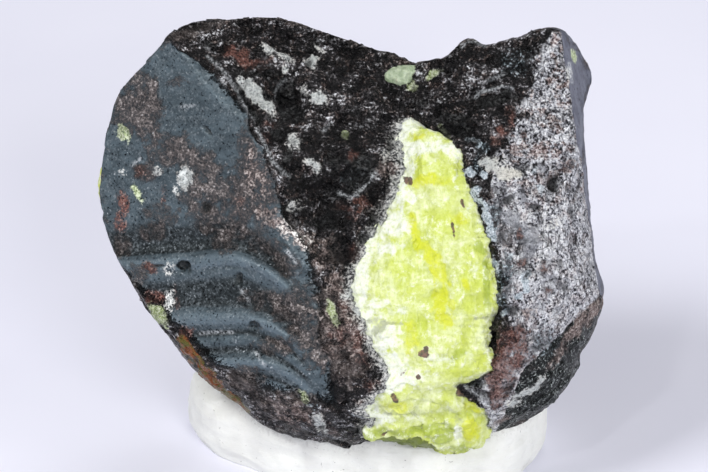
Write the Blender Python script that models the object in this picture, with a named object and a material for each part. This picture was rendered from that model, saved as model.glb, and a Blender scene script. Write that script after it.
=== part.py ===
"""A hand specimen of hematite with lizardite grown through it, seated on a pad of putty.

The stone is shaped upright, in millimetres: x runs to the right across its face, y runs away from the
viewer and z runs up the face. It then leans back by LEAN and is scaled to metres. The origin ends at the
middle of the whole piece's footprint, on the flat underside of the putty.
"""

import math

import bmesh
import bpy
from mathutils import Euler, Matrix, Vector, noise

# Driving dimensions
MM = 0.001
STONE_WIDTH = 60.0 * MM
DRAWN_WIDTH = 59.7
LEAN = math.radians(26.0)
CONTACT_GAP = 0.33
PUTTY_BELOW_STONE = 3.0
PUTTY_HEIGHT = 8.8

# Triangles kept in each body before the pockets are cut
STONE_TRIANGLES = 4700
VEIN_TRIANGLES = 1300
SHOULDER_TRIANGLES = 400
CREST_TRIANGLES = 200
PUTTY_TRIANGLES = 800

# Outline of the stone's face, clockwise from the upper left shoulder
STONE_OUTLINE = (
    (-19.0, 25.3), (-14.2, 25.6), (-10.1, 25.8), (-7.1, 25.3), (-2.4, 23.8), (2.4, 22.2), (5.9, 21.1),
    (7.2, 20.5), (9.5, 20.6), (11.5, 21.6), (13.2, 23.0), (14.5, 23.2), (15.9, 22.5), (19.2, 23.3),
    (21.9, 24.3), (24.0, 24.5), (25.3, 24.0), (26.5, 22.6), (28.4, 19.3), (27.9, 16.6), (27.4, 14.0),
    (28.1, 5.3), (28.9, -2.4), (29.9, -6.0), (29.8, -8.6), (28.5, -12.2), (27.2, -14.1), (26.9, -15.9),
    (24.0, -20.0), (18.4, -23.3), (14.0, -24.0), (7.1, -24.0), (2.6, -24.7), (0.0, -25.4), (-2.6, -25.1),
    (-9.5, -23.3), (-13.6, -20.2), (-17.8, -17.1), (-21.9, -12.1), (-25.1, -7.6), (-28.3, -2.0),
    (-29.9, 3.6), (-29.8, 8.0), (-28.9, 13.2), (-27.4, 17.2), (-23.7, 21.3), (-21.6, 23.8),
)

# The vein on the face: height, left edge, right edge, from its tip at the top to its foot
VEIN_ROWS = (
    (13.9, 6.3, 7.4), (12.8, 5.8, 8.4), (12.2, 5.7, 10.0), (11.2, 5.7, 11.6), (10.0, 5.9, 13.0),
    (7.7, 6.0, 13.4), (5.3, 5.2, 14.0), (3.0, 4.2, 14.7), (0.6, 2.9, 15.8), (-1.8, 1.7, 16.2),
    (-4.2, 0.5, 16.5), (-6.5, 0.0, 17.1), (-8.5, 0.7, 17.2), (-10.4, 1.3, 16.3), (-12.6, 2.3, 15.9),
    (-14.6, 3.5, 16.5), (-15.9, 4.1, 16.8), (-16.7, 4.2, 15.2), (-17.8, 4.0, 12.7), (-19.1, 2.6, 13.6),
    (-20.4, 1.2, 15.6), (-21.7, 2.4, 16.2), (-23.2, 1.4, 16.2), (-24.2, 2.2, 15.6), (-25.2, 7.0, 15.0),
    (-25.9, 10.6, 14.0),
)

# Flat faces broken on the front: a point on each (x, z, height) and its slopes towards +x and +z
LEFT_FACE = ((-29.0, 5.0, 1.2), (0.56, 0.10))
LEFT_CROWN = ((-7.7, 7.4, 13.4), (-0.24, -0.60))
LEFT_FRONT = ((-7.7, 0.0, 12.6), (-0.16, -0.05))
RIGHT_FACE = ((20.0, 4.0, 13.2), (-0.10, -0.12))
RIGHT_CROWN = ((17.2, 11.9, 12.5), (0.45, -0.38))
RIGHT_BANK = ((16.5, -0.6, 14.1), (1.10, 0.19))
RIGHT_SIDE = ((25.5, 16.5, 11.6), (-3.00, -0.56))
RIGHT_SKIRT = ((24.3, -13.6, 12.4), (-1.30, 1.15))
FOOT_FACE = ((0.0, -14.0, 13.0), (0.02, 0.62))

# Flat faces broken on the back
BACK_FACES = (
    ((4.0, 2.0, -18.0), (0.08, 0.12)),
    ((-16.0, 6.0, -14.0), (-0.62, 0.20)),
    ((18.0, 8.0, -14.0), (0.70, 0.28)),
    ((14.0, -14.0, -15.5), (0.30, -0.52)),
    ((-8.0, -16.0, -14.5), (-0.34, -0.66)),
)

# Corners knocked off behind the outline: the way each faces and its distance from the middle
CHIPS = (
    ((-0.62, 0.55, 0.56), 24.6),
    ((0.55, 0.60, 0.58), 25.0),
    ((0.10, 0.55, 0.83), 20.2),
    ((-0.85, 0.52, 0.08), 26.0),
    ((-0.60, 0.55, -0.58), 23.4),
    ((0.50, 0.80, -0.33), 23.0),
    ((0.80, 0.58, 0.12), 24.2),
    ((-0.20, 0.75, -0.63), 20.6),
)

# Slip ribs that cross the left face: height at x = RIB_START, how proud, half width
RIBS = (
    (-0.6, -0.75, 1.7), (-2.9, 0.75, 1.1), (-5.6, -0.25, 0.9), (-7.6, -0.45, 1.4), (-10.0, 0.60, 1.1),
    (-11.6, -0.40, 0.7), (-12.7, 0.25, 0.5), (-13.7, -0.40, 0.7), (-15.1, 0.50, 0.9),
    (-16.6, -0.35, 0.6), (-17.6, 0.30, 0.5), (-18.6, -0.30, 0.6),
)
RIB_START = -17.0

# Pits and hollows on the front: x, z, radius, depth
PITS = (
    (-8.0, 15.4, 1.9, 1.5), (-9.2, 10.4, 1.3, 0.9), (-3.4, 4.2, 3.0, 1.9), (3.0, 4.4, 1.7, 1.3),
    (-20.0, -3.6, 0.9, 0.6), (23.8, 6.1, 1.2, 1.2), (18.8, -1.4, 1.2, 0.7), (19.6, -10.6, 1.5, 0.8),
    (10.6, 14.2, 1.8, 1.0), (-1.0, 12.6, 1.6, 0.9), (-0.8, -1.2, 1.5, 0.7), (20.6, -3.4, 0.8, 0.6),
)

# Lumps on the front: x, z, radius, height
LUMPS = (
    (-12.5, 19.4, 2.6, 0.8), (-4.4, 18.0, 2.4, 1.0), (2.2, 15.6, 2.2, 0.9), (14.6, 19.6, 2.0, 1.2),
    (-5.4, 8.6, 1.7, 0.9), (-5.6, -2.6, 2.0, 0.9), (0.2, 8.4, 1.5, 0.8), (21.0, -7.0, 2.8, 0.7),
    (2.1, -17.2, 1.7, 1.3), (-1.2, -11.5, 2.4, 0.8), (19.2, 6.4, 2.2, 0.7), (24.0, 12.4, 2.4, 0.6),
    (-5.0, -20.6, 2.4, 0.6),
)

# Lobes and hollows of the front vein: x, z, radius, height
VEIN_LOBES = (
    (8.9, 8.2, 2.4, 0.8), (5.0, 0.2, 1.8, 0.7), (3.0, -5.0, 2.2, 0.8), (13.4, -3.2, 2.6, 0.8),
    (4.2, -12.4, 1.9, 0.8), (10.8, -13.8, 2.3, 0.7), (7.7, -1.2, 1.3, -0.9), (10.2, -6.8, 1.5, -0.9),
    (7.6, -10.2, 1.4, -0.5), (13.4, -22.8, 1.9, 1.9), (5.2, -22.6, 1.8, 0.9), (9.6, -23.6, 1.6, 0.9),
)

# Where the mass behind the left edge runs, as directions from the stone's middle, from foot to top
SHOULDER_STATIONS = ((-0.84, 0.40, -0.36), (-0.97, 0.07, 0.16), (-0.88, 0.14, 0.44))

# The putty's edge on the surface it stands on: x to the right, y away from the viewer
PUTTY_OUTLINE = (
    (-19.8, 8.4), (-19.4, 4.6), (-17.4, 0.2), (-13.4, -4.2), (-6.0, -8.8), (2.0, -11.4), (10.0, -12.2),
    (17.0, -10.2), (21.8, -5.0), (23.5, 1.4), (22.6, 8.2), (17.0, 13.6), (8.0, 16.6), (-3.0, 17.2),
    (-12.0, 15.6), (-17.6, 12.6),
)

# Dents pressed in the putty's edge: direction round it in degrees, width in degrees, depth
DENTS = (
    (-158, 9, 0.9), (-128, 7, 0.6), (-96, 12, 0.8), (-52, 8, 0.9), (-18, 10, 0.7), (38, 14, 1.0),
    (96, 10, 0.8),
)

# How far each body's section is squared off; 1 is round
STONE_ROUNDNESS = 0.66
PUTTY_ROUNDNESS = 0.45
FRONT_DEPTH = 20.0
BACK_DEPTH = 19.5
RIM_SETBACK = -2.0
RIM_LEAN = 0.22


def smooth_min(a, b, reach):
    """The smaller of two heights, blended over reach where they are close."""
    share = max(reach - abs(a - b), 0.0) / reach
    return min(a, b) - share * share * reach / 4


def smooth_max(a, b, reach):
    """The larger of two heights, blended over reach where they are close."""
    return -smooth_min(-a, -b, reach)


def face_height(face, x, z):
    """Height of a flat face over a point of the stone's face."""
    (face_x, face_z, height), (slope_x, slope_z) = face
    return height + slope_x * (x - face_x) + slope_z * (z - face_z)


def bump(x, z, centre_x, centre_z, radius):
    """A round bump of height 1 that fades to nothing at twice its radius."""
    share = ((x - centre_x) ** 2 + (z - centre_z) ** 2) / (radius * radius)
    return math.exp(-share)


def closed_curve(points, steps):
    """A smooth closed curve through the points, with steps samples in each stretch."""
    curve = []
    count = len(points)
    for i in range(count):
        before, start, end, after = (Vector(points[(i + k - 1) % count]) for k in range(4))
        for step in range(steps):
            t = step / steps
            bend = (2 * before - 5 * start + 4 * end - after) * t * t
            twist = (3 * start - before - 3 * end + after) * t * t * t
            curve.append((2 * start + (end - before) * t + bend + twist) / 2)
    return curve


class RadialOutline:
    """A closed outline read as a distance from its centre in any direction."""

    def __init__(self, points, centre):
        self.centre = Vector(centre)
        spokes = []
        for point in closed_curve(points, 8):
            arm = point - self.centre
            spokes.append((math.atan2(arm.y, arm.x), arm.length))
        spokes.sort()
        first, last = spokes[0], spokes[-1]
        self.spokes = [(last[0] - math.tau, last[1])] + spokes + [(first[0] + math.tau, first[1])]

    def reach(self, angle):
        """Distance from the centre to the outline in a direction."""
        low, high = 0, len(self.spokes) - 1
        while high - low > 1:
            middle = (low + high) // 2
            if self.spokes[middle][0] <= angle:
                low = middle
            else:
                high = middle
        (start, near), (end, far) = self.spokes[low], self.spokes[high]
        share = (angle - start) / (end - start) if end > start else 0.0
        return near + (far - near) * share


STONE = RadialOutline(STONE_OUTLINE, (0.0, -1.0))


def rim_depth(x, z):
    """Depth of the stone's silhouette line, which leans and wanders a little."""
    depth = RIM_SETBACK + RIM_LEAN * z + 1.6 * noise.noise(Vector((x * 0.09, z * 0.09, 21.0)))
    return smooth_min(depth, face_height(RIGHT_SIDE, x, z) - 0.4, 1.0)


def dome(x, z):
    """How full the stone's section is at a point of its face, from 0 at the outline to 1 inside."""
    arm = Vector((x, z)) - STONE.centre
    share = min(arm.length / STONE.reach(math.atan2(arm.y, arm.x)), 1.0)
    flat = share ** (1 / STONE_ROUNDNESS)
    return math.sqrt(max(1 - flat * flat, 0.0)) ** STONE_ROUNDNESS


def edge_x(z):
    """Where the left face ends towards the valley, at a height."""
    return min(-7.7 - 0.21 * z, -1.2 - 0.875 * z)


def ribs(x, z):
    """Relief of the slip ribs, which bend down where they near the edge of the left face."""
    to_edge = edge_x(z) - x
    fade = min(max(to_edge / 1.2, 0.0), 1.0)
    bend = 0.085 * max(8.0 - to_edge, 0.0) ** 2
    level = z - 0.07 * (x - RIB_START) + bend + 0.5 * noise.noise(Vector((x * 0.16, z * 0.16, 3.0)))
    relief = sum(proud * math.exp(-(((level - height) / width) ** 2)) for height, proud, width in RIBS)
    return relief * fade


def rough(point, size, height):
    """Broken relief of a given size and height, with sharp crests."""
    crest = 1 - abs(noise.noise(point / size))
    fine = 1 - abs(noise.noise(point / (size * 0.42) + Vector((7.0, 3.0, 1.0))))
    return height * (crest + 0.45 * fine - 1.2)


def bare_height(x, z):
    """Height of the stone's front over a point of its face, before the vein's valley is sunk in it."""
    here = Vector((x, 0.0, z))
    left_face = face_height(LEFT_FACE, x, z) + ribs(x, z)
    left_front = smooth_min(face_height(LEFT_CROWN, x, z), face_height(LEFT_FRONT, x, z), 1.5)
    left_block = smooth_min(left_face, left_front + rough(here, 5.0, 1.3), 0.4)
    right_block = face_height(RIGHT_FACE, x, z) + rough(here + Vector((0.0, 9.0, 0.0)), 5.0, 0.9)
    right_crown = face_height(RIGHT_CROWN, x, z) + rough(here + Vector((0.0, 20.0, 0.0)), 4.5, 0.9)
    right_block = smooth_min(right_block, right_crown, 0.9)
    right_block = smooth_min(right_block, face_height(RIGHT_BANK, x, z), 0.7)
    right_block = smooth_min(right_block, face_height(RIGHT_SKIRT, x, z), 0.6)
    height = smooth_max(left_block, right_block, 1.5)
    height += sum(lift * bump(x, z, lump_x, lump_z, radius) for lump_x, lump_z, radius, lift in LUMPS)
    height -= sum(depth * bump(x, z, pit_x, pit_z, radius) for pit_x, pit_z, radius, depth in PITS)
    height = smooth_min(height, face_height(RIGHT_SIDE, x, z), 0.4)
    height = smooth_min(height, face_height(FOOT_FACE, x, z) + rough(here, 4.0, 0.8), 2.5)
    rim = rim_depth(x, z)
    filled = dome(x, z) * FRONT_DEPTH
    return rim + max(smooth_min(filled, height - rim, 1.6), 0.0)


def row_at(rows, height):
    """Left and right edges of the vein at a height."""
    height = min(max(height, rows[-1][0]), rows[0][0])
    for upper, lower in zip(rows, rows[1:]):
        if height >= lower[0]:
            share = (upper[0] - height) / (upper[0] - lower[0])
            return (
                upper[1] + (lower[1] - upper[1]) * share,
                upper[2] + (lower[2] - upper[2]) * share,
            )
    return rows[-1][1:]


def vein_bed(x, z, left, right):
    """Height of the vein's skin without its lobes: a straight run from its left bank to its right one."""
    bank_z = max(z, -22.4)
    share = min(max((x - left) / (right - left), 0.0), 1.0)
    left_bank = bare_height(left - 0.4, bank_z) - 0.4
    right_bank = bare_height(right + 0.4, bank_z) - 1.0
    droop = 0.17 * max(-22.4 - z, 0.0) ** 2
    return left_bank * (1 - share) + right_bank * share - droop


def front_height(x, z):
    """Height of the stone's front over a point of its face."""
    height = bare_height(x, z)
    left, right = row_at(VEIN_ROWS, z)
    inside = min(x - left, right - x)
    if inside <= 0 or z > VEIN_ROWS[0][0] or z < VEIN_ROWS[-1][0]:
        return height
    sunk = vein_bed(x, z, left, right) - 2.2 * min(inside / 1.2, 1.0)
    return max(min(height, sunk), rim_depth(x, z))


def back_height(x, z):
    """Height of the stone's back, which lies behind its silhouette line."""
    height = face_height(BACK_FACES[0], x, z)
    for face in BACK_FACES[1:]:
        height = smooth_max(height, face_height(face, x, z), 2.2)
    here = Vector((x, 40.0, z))
    step = 0.8 * x + 0.6 * z + 5.0 * noise.noise(here * 0.11) - 2.0
    height += rough(here, 6.5, 1.7) + 1.5 / (1 + math.exp(-step / 0.5))
    rim = rim_depth(x, z)
    filled = dome(x, z) * BACK_DEPTH
    return rim - max(smooth_min(filled, rim - height, 2.5), 0.0)


def chipped(point, share):
    """A point of the skin, moved by a share of the way in to the broken corners that it stands outside."""
    for facing, distance in CHIPS:
        facing = Vector(facing).normalized()
        over = point.dot(facing) - distance
        if over > -0.5:
            point = point - facing * smooth_max(over, 0.0, 1.0) * share
    return point


def stone_point(direction):
    """Point of the stone's skin that a direction from its middle meets."""
    across = math.hypot(direction.x, direction.z)
    angle = math.atan2(direction.z, direction.x)
    reach = STONE.reach(angle) * across**STONE_ROUNDNESS
    x = STONE.centre.x + reach * math.cos(angle)
    z = STONE.centre.y + reach * math.sin(angle)
    if direction.y <= 0:
        return Vector((x, -front_height(x, z), z))
    share = min(direction.y / 0.14, 1.0)
    point = chipped(Vector((x, -back_height(x, z), z)), share)
    inward = Vector((x, 0.0, z)).normalized()
    return point - inward * share * max(1.0 + rough(point, 6.0, 1.5), 0.0)


def vein_point(direction):
    """Point of the front vein's skin: it fills the valley from bank to bank, and its foot swells out."""
    top, foot = VEIN_ROWS[0][0], VEIN_ROWS[-1][0]
    z = (top + foot) / 2 + direction.z * (top - foot) / 2
    ring = math.sqrt(max(1 - direction.z**2, 1e-9))
    across, inward = direction.x / ring, direction.y / ring
    left, right = row_at(VEIN_ROWS, z)
    x = (left + right) / 2 + across * (right - left) / 2
    edge = vein_bed(x, z, left, right)
    if inward > 0:
        depth = (3.4 + 2.6 * ring) * min(1.0, ring * 1.8)
        return Vector((x, -(edge - depth * inward**0.7), z))
    swell = 1.1 * math.sqrt(max(1 - across**2, 0.0))
    swell += sum(lift * bump(x, z, lobe_x, lobe_z, size) for lobe_x, lobe_z, size, lift in VEIN_LOBES)
    swell += 0.5 * noise.noise(Vector((x, 0.0, z)) * 0.55)
    shelf = 1 / (1 + math.exp((z + 20.6 + 0.8 * noise.noise(Vector((x * 0.4, 2.0, 0.0)))) / 0.25))
    swell -= 0.8 * shelf * bump(0.0, z, 0.0, -21.0, 1.6)
    return Vector((x, -(edge + swell * abs(inward) ** 0.5), z))


def band_shaper(stations, buried, thickness, half_width, seed):
    """Returns the skin of a lumpy band just under the stone's skin, along stations given as directions."""
    middle_of_stone = Vector((0.0, 3.0, -1.0))
    lower, middle, upper = (stone_point(Vector(station).normalized()) for station in stations)
    lower, middle, upper = (
        point - (point - middle_of_stone).normalized() * buried for point in (lower, middle, upper)
    )
    along = (upper - lower).normalized()
    outward = (middle - middle_of_stone).normalized()
    sideways = along.cross(outward).normalized()

    def skin(direction):
        share = (direction.z + 1) / 2
        through = 2 * middle - (lower + upper) / 2
        spine = lower * (1 - share) ** 2 + through * 2 * share * (1 - share) + upper * share**2
        lumpy = 1 + 0.35 * noise.noise(direction * 1.6 + Vector((seed, 0.0, 0.0)))
        out = outward * direction.x * thickness
        side = sideways * direction.y * half_width
        return spine + (out + side) * lumpy

    return skin


def nugget_shaper(x, z, buried, radii, seed):
    """Returns the skin of a lumpy nugget set in the front of the stone, its middle buried by a depth."""
    middle = Vector((x, buried - front_height(x, z), z))

    def skin(direction):
        lumpy = 1 + 0.22 * noise.noise(direction * 1.3 + Vector((seed, 0.0, 0.0)))
        return middle + direction * Vector(radii) * lumpy

    return skin


def new_material(name, colour, roughness, metallic=0.0):
    """A plain surface of one colour."""
    material = bpy.data.materials.new(name)
    material.use_nodes = True
    shader = material.node_tree.nodes["Principled BSDF"]
    shader.inputs["Base Color"].default_value = (*colour, 1.0)
    shader.inputs["Roughness"].default_value = roughness
    shader.inputs["Metallic"].default_value = metallic
    return material


def add_object(name, bm, material=None):
    """Puts a finished shape in the scene."""
    mesh = bpy.data.meshes.new(name)
    bm.to_mesh(mesh)
    bm.free()
    if material:
        mesh.materials.append(material)
    obj = bpy.data.objects.new(name, mesh)
    bpy.context.collection.objects.link(obj)
    return obj


def shaped_ball(skin, subdivisions):
    """A ball whose every point is moved to where the skin says."""
    bm = bmesh.new()
    bmesh.ops.create_icosphere(bm, subdivisions=subdivisions, radius=1.0)
    for vert in bm.verts:
        vert.co = skin(vert.co.normalized())
    if bm.calc_volume(signed=True) < 0:
        bmesh.ops.reverse_faces(bm, faces=bm.faces)
    return bm


def thinned(bm, triangles):
    """The same shape with fewer triangles, kept small where the shape turns sharply."""
    helper = add_object("thinning", bm)
    modifier = helper.modifiers.new("thin", "DECIMATE")
    modifier.ratio = triangles / len(helper.data.polygons)
    return evaluated(helper)


def evaluated(obj):
    """The object's shape with its modifiers, as a new shape; the object itself is removed."""
    bpy.context.view_layer.update()
    graph = bpy.context.evaluated_depsgraph_get()
    bm = bmesh.new()
    bm.from_object(obj, graph)
    bpy.data.objects.remove(obj)
    bmesh.ops.triangulate(bm, faces=bm.faces)
    return bm


def grown(bm, distance):
    """A copy of a shape with its skin moved out by a distance."""
    copy = bm.copy()
    copy.normal_update()
    moves = [vert.normal * min(vert.calc_shell_factor(), 1.3) * distance for vert in copy.verts]
    for vert, move in zip(copy.verts, moves):
        vert.co += move
    return copy


def cut(bm, tools):
    """A shape with each tool's space taken out of it."""
    body = add_object("body", bm)
    for index, tool in enumerate(tools):
        cutter = add_object(f"cutter_{index}", tool)
        cutter.hide_render = True
        cutter.display_type = "WIRE"
        modifier = body.modifiers.new(f"cut_{index}", "BOOLEAN")
        modifier.operation = "DIFFERENCE"
        modifier.object = cutter
    result = evaluated(body)
    for obj in [obj for obj in bpy.data.objects if obj.name.startswith("cutter_")]:
        bpy.data.objects.remove(obj)
    return result


def putty_shape(floor):
    """The pad of putty before the stone is pressed in: a soft-edged slab with a flat underside."""
    outline = RadialOutline(PUTTY_OUTLINE, (2.0, 2.5))

    def skin(direction):
        across = math.hypot(direction.x, direction.y)
        angle = math.atan2(direction.y, direction.x)
        reach = outline.reach(angle) * across**PUTTY_ROUNDNESS
        for degrees, width, depth in DENTS:
            turned = (math.degrees(angle) - degrees + 180) % 360 - 180
            reach -= depth * math.exp(-((turned / width) ** 2)) * across
        x = outline.centre.x + reach * math.cos(angle)
        y = outline.centre.y + reach * math.sin(angle)
        rise = 1 + 0.16 * noise.noise(Vector((x, y, 0.0)) * 0.13)
        rise += 0.05 * noise.noise(Vector((x, y, 9.0)) * 0.4)
        level = 0.32 * PUTTY_HEIGHT
        if direction.z > 0:
            z = level + (PUTTY_HEIGHT * rise - level) * direction.z**PUTTY_ROUNDNESS
        else:
            z = level * (1 - min(1.0, abs(direction.z) * 2.4) ** 0.8)
        return Vector((x, y, floor + z))

    bm = shaped_ball(skin, 6)
    under = floor + 0.02
    for vert in bm.verts:
        if vert.co.z < under:
            vert.co.z = floor
    return bm


def lean_back(bm):
    """Turns a shape from the stone's upright frame to how the specimen is set."""
    bm.transform(Euler((-LEAN, 0.0, 0.0)).to_matrix().to_4x4())


def lowest(bm):
    """Height of the lowest point of a shape."""
    return min(vert.co.z for vert in bm.verts)


def settle(objects):
    """Scales everything to real size and puts the middle of the footprint at the origin."""
    corners = [vert.co for obj in objects for vert in obj.data.vertices]
    low = Vector(min(corner[axis] for corner in corners) for axis in range(3))
    high = Vector(max(corner[axis] for corner in corners) for axis in range(3))
    to_origin = Matrix.Translation((-(low.x + high.x) / 2, -(low.y + high.y) / 2, -low.z))
    to_size = Matrix.Scale(STONE_WIDTH / DRAWN_WIDTH, 4)
    for obj in objects:
        obj.data.transform(to_size @ to_origin)
        obj.data.shade_smooth()
        obj.data.set_sharp_from_angle(angle=math.radians(40))


def main():
    for obj in list(bpy.data.objects):
        bpy.data.objects.remove(obj)

    hematite_grey = new_material("hematite", (0.075, 0.075, 0.08), 0.38, 0.35)
    lizardite_green = new_material("lizardite", (0.66, 0.78, 0.12), 0.5)
    putty_white = new_material("putty", (0.86, 0.85, 0.81), 0.85)

    vein = thinned(shaped_ball(vein_point, 6), VEIN_TRIANGLES)
    crest = nugget_shaper(6.4, 18.8, 1.5, (2.5, 2.1, 1.9), 4.0)
    shoulder = band_shaper(SHOULDER_STATIONS, 1.6, 2.6, 4.0, 11.0)
    growths = {
        "lizardite_vein": vein,
        "lizardite_crest": thinned(shaped_ball(crest, 4), CREST_TRIANGLES),
        "lizardite_shoulder": thinned(shaped_ball(shoulder, 5), SHOULDER_TRIANGLES),
    }
    stone = thinned(shaped_ball(stone_point, 7), STONE_TRIANGLES)

    pressed = [grown(stone, CONTACT_GAP)]
    pressed += [grown(shape, CONTACT_GAP) for shape in growths.values()]
    for shape in pressed:
        lean_back(shape)
    stone = cut(stone, [grown(shape, CONTACT_GAP) for shape in growths.values()])

    for shape in [stone, *growths.values()]:
        lean_back(shape)
    floor = lowest(stone) - PUTTY_BELOW_STONE
    putty = cut(thinned(putty_shape(floor), PUTTY_TRIANGLES), pressed)

    objects = [add_object("hematite", stone, hematite_grey)]
    objects += [add_object(name, shape, lizardite_green) for name, shape in growths.items()]
    objects.append(add_object("putty", putty, putty_white))
    settle(objects)


main()
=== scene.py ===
"""The looks of a hand specimen: hematite with lizardite grown through it, seated in a pad of white putty.

The stone is shaped upright, in millimetres: x runs to the right across its face, y runs away from the
viewer and z runs up the face. Each finished piece is then leaned back and set over the floor, in metres.
"""

import logging
import math
from bisect import bisect_right
from dataclasses import dataclass, field
from enum import Enum
from functools import reduce
from typing import Callable, Optional, Sequence

import bmesh
import bpy
from mathutils import Euler, Matrix, Vector, noise
from mathutils.bvhtree import BVHTree


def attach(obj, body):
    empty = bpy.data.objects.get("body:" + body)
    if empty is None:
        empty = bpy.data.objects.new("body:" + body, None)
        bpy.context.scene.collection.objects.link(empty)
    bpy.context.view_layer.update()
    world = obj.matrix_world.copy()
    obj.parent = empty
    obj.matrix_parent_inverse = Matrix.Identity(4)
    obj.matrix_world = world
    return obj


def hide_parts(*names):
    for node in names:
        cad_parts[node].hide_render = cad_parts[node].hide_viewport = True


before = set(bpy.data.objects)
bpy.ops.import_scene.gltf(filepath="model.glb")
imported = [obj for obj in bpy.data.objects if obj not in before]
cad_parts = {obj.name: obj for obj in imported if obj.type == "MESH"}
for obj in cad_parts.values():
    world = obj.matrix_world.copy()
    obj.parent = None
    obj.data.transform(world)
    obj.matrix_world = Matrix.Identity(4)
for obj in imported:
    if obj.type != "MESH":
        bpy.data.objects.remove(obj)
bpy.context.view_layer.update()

LOG = logging.getLogger("specimen")
MM = 0.001
BODY = "root"
WAY = "way"
MOST_PASSES = 7
NOISE_SEED = 7
CURVE_STEPS = 8
PATCH_FADE = (1.45, 0.55)
PATCH_REACH = 8.0
GLINT_LINE_FADE = (1.7, 0.3)
WIDEST_DETAIL = 1.6
DETAIL_MARGIN = 0.3
FINER_SIZE = 0.42
FINER_SHARE = 0.45
FINER_SHIFT = Vector((7.0, 3.0, 1.0))
MIDDLE_OF_RELIEF = 1.2
FACET_SPREAD = 5.3

Skin = Callable[[Vector], Vector]
Shades = tuple[float, float, float, float]
Rgb = tuple[float, float, float]
Ramp = tuple[tuple[float, Rgb], ...]
Face = tuple[tuple[float, float, float], tuple[float, float]]
Line = Sequence[tuple[float, float]]
Ridges = tuple[tuple[float, float, float], ...]
Bumps = tuple[tuple[float, float, float, float], ...]
Socket = bpy.types.NodeSocket
Sockets = tuple[Socket, ...]


class Slot(Enum):
    """Names for the pieces' finishes, passed to finished(), which does not use them."""

    HEMATITE = "hematite"
    LIZARDITE = "lizardite"
    PUTTY = "putty"


class Paint(Enum):
    """The layers of four shares each that a mesh carries for its material."""

    ZONES = "zones"
    STAINS = "stains"
    MARKS = "marks"
    GROUND = "ground"
    VEIN = "vein"
    SMEARS = "smears"


# Small sums that the shapes are made from


def smooth_min(a: float, b: float, reach: float) -> float:
    """The smaller of two heights, blended where they are less than reach apart."""
    share = max(reach - abs(a - b), 0.0) / reach
    return min(a, b) - share * share * reach / 4


def smooth_max(a: float, b: float, reach: float) -> float:
    """The larger of two heights, blended where they are less than reach apart."""
    return -smooth_min(-a, -b, reach)


def smooth_step(low: float, high: float, value: float) -> float:
    """A soft step from 0 where value is at low to 1 where it is at high, which may lie below low."""
    share = min(max((value - low) / (high - low), 0.0), 1.0)
    return share * share * (3 - 2 * share)


def face_height(face: Face, x: float, z: float) -> float:
    """Height of a flat face over a point; a face is a point on it and its slopes towards +x and +z."""
    (face_x, face_z, height), (slope_x, slope_z) = face
    return height + slope_x * (x - face_x) + slope_z * (z - face_z)


def bump(x: float, z: float, centre_x: float, centre_z: float, radius: float) -> float:
    """A round bump of height 1 that fades to nothing at about twice its radius."""
    return math.exp(-((x - centre_x) ** 2 + (z - centre_z) ** 2) / (radius * radius))


def bumps(rows: Bumps, x: float, z: float) -> float:
    """Height over a point of round bumps, each given by its middle, its radius and its height."""
    return sum(height * bump(x, z, at_x, at_z, size) for at_x, at_z, size, height in rows)


def ripples(rows: Ridges, level: float) -> float:
    """Height at a level of soft ridges, each given by its own level, its height and its width."""
    return sum(proud * math.exp(-(((level - height) / width) ** 2)) for height, proud, width in rows)


def leftmost(lines: Line, z: float) -> float:
    """The leftmost of slanting lines at a height, each given by its place at z = 0 and its slope."""
    return min(place + slope * z for place, slope in lines)


def clamped(value: float) -> float:
    """A value held between 0 and 1."""
    return min(max(value, 0.0), 1.0)


def ridged(point: Vector, size: float) -> float:
    """Broken relief from about 0 in its hollows to 1 on its sharp crests, which stand size mm apart."""
    return 1 - abs(noise.noise(point / size))


def crests(point: Vector, size: float, height: float, level: float) -> float:
    """Broken relief, height mm high, that is 0 where the ridges of that size stand at level."""
    return height * (ridged(point, size) - level)


def rough(point: Vector, size: float, height: float) -> float:
    """Broken relief of two sizes with sharp crests; size and height are those of the larger, in mm."""
    finer = size * FINER_SIZE
    return height * (
        ridged(point, size) + FINER_SHARE * ridged(point + FINER_SHIFT * finer, finer) - MIDDLE_OF_RELIEF
    )


def facets(point: Vector, size: float, tilt: float) -> float:
    """Relief of flat, tilted faces that meet at sharp breaks.

    Args:
        point: where it is read, in mm.
        size: a face's size, in mm.
        tilt: how steeply the faces stand.

    Returns:
        The relief, in mm.
    """
    spot = point / size
    middle = noise.voronoi(spot)[1][0]
    return tilt * size * (spot - middle).dot(noise.noise_vector(middle * FACET_SPREAD).normalized())


def closed_curve(points: Line, steps: int) -> list[Vector]:
    """A smooth closed curve through points.

    Args:
        points: the points that it passes through.
        steps: samples in each stretch.

    Returns:
        The curve's samples in order.
    """
    curve = []
    count = len(points)
    for i in range(count):
        before, start, end, after = (Vector(points[(i + k - 1) % count]) for k in range(4))
        for step in range(steps):
            t = step / steps
            bend = (2 * before - 5 * start + 4 * end - after) * t * t
            twist = (3 * start - before - 3 * end + after) * t * t * t
            curve.append((2 * start + (end - before) * t + bend + twist) / 2)
    return curve


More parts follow.
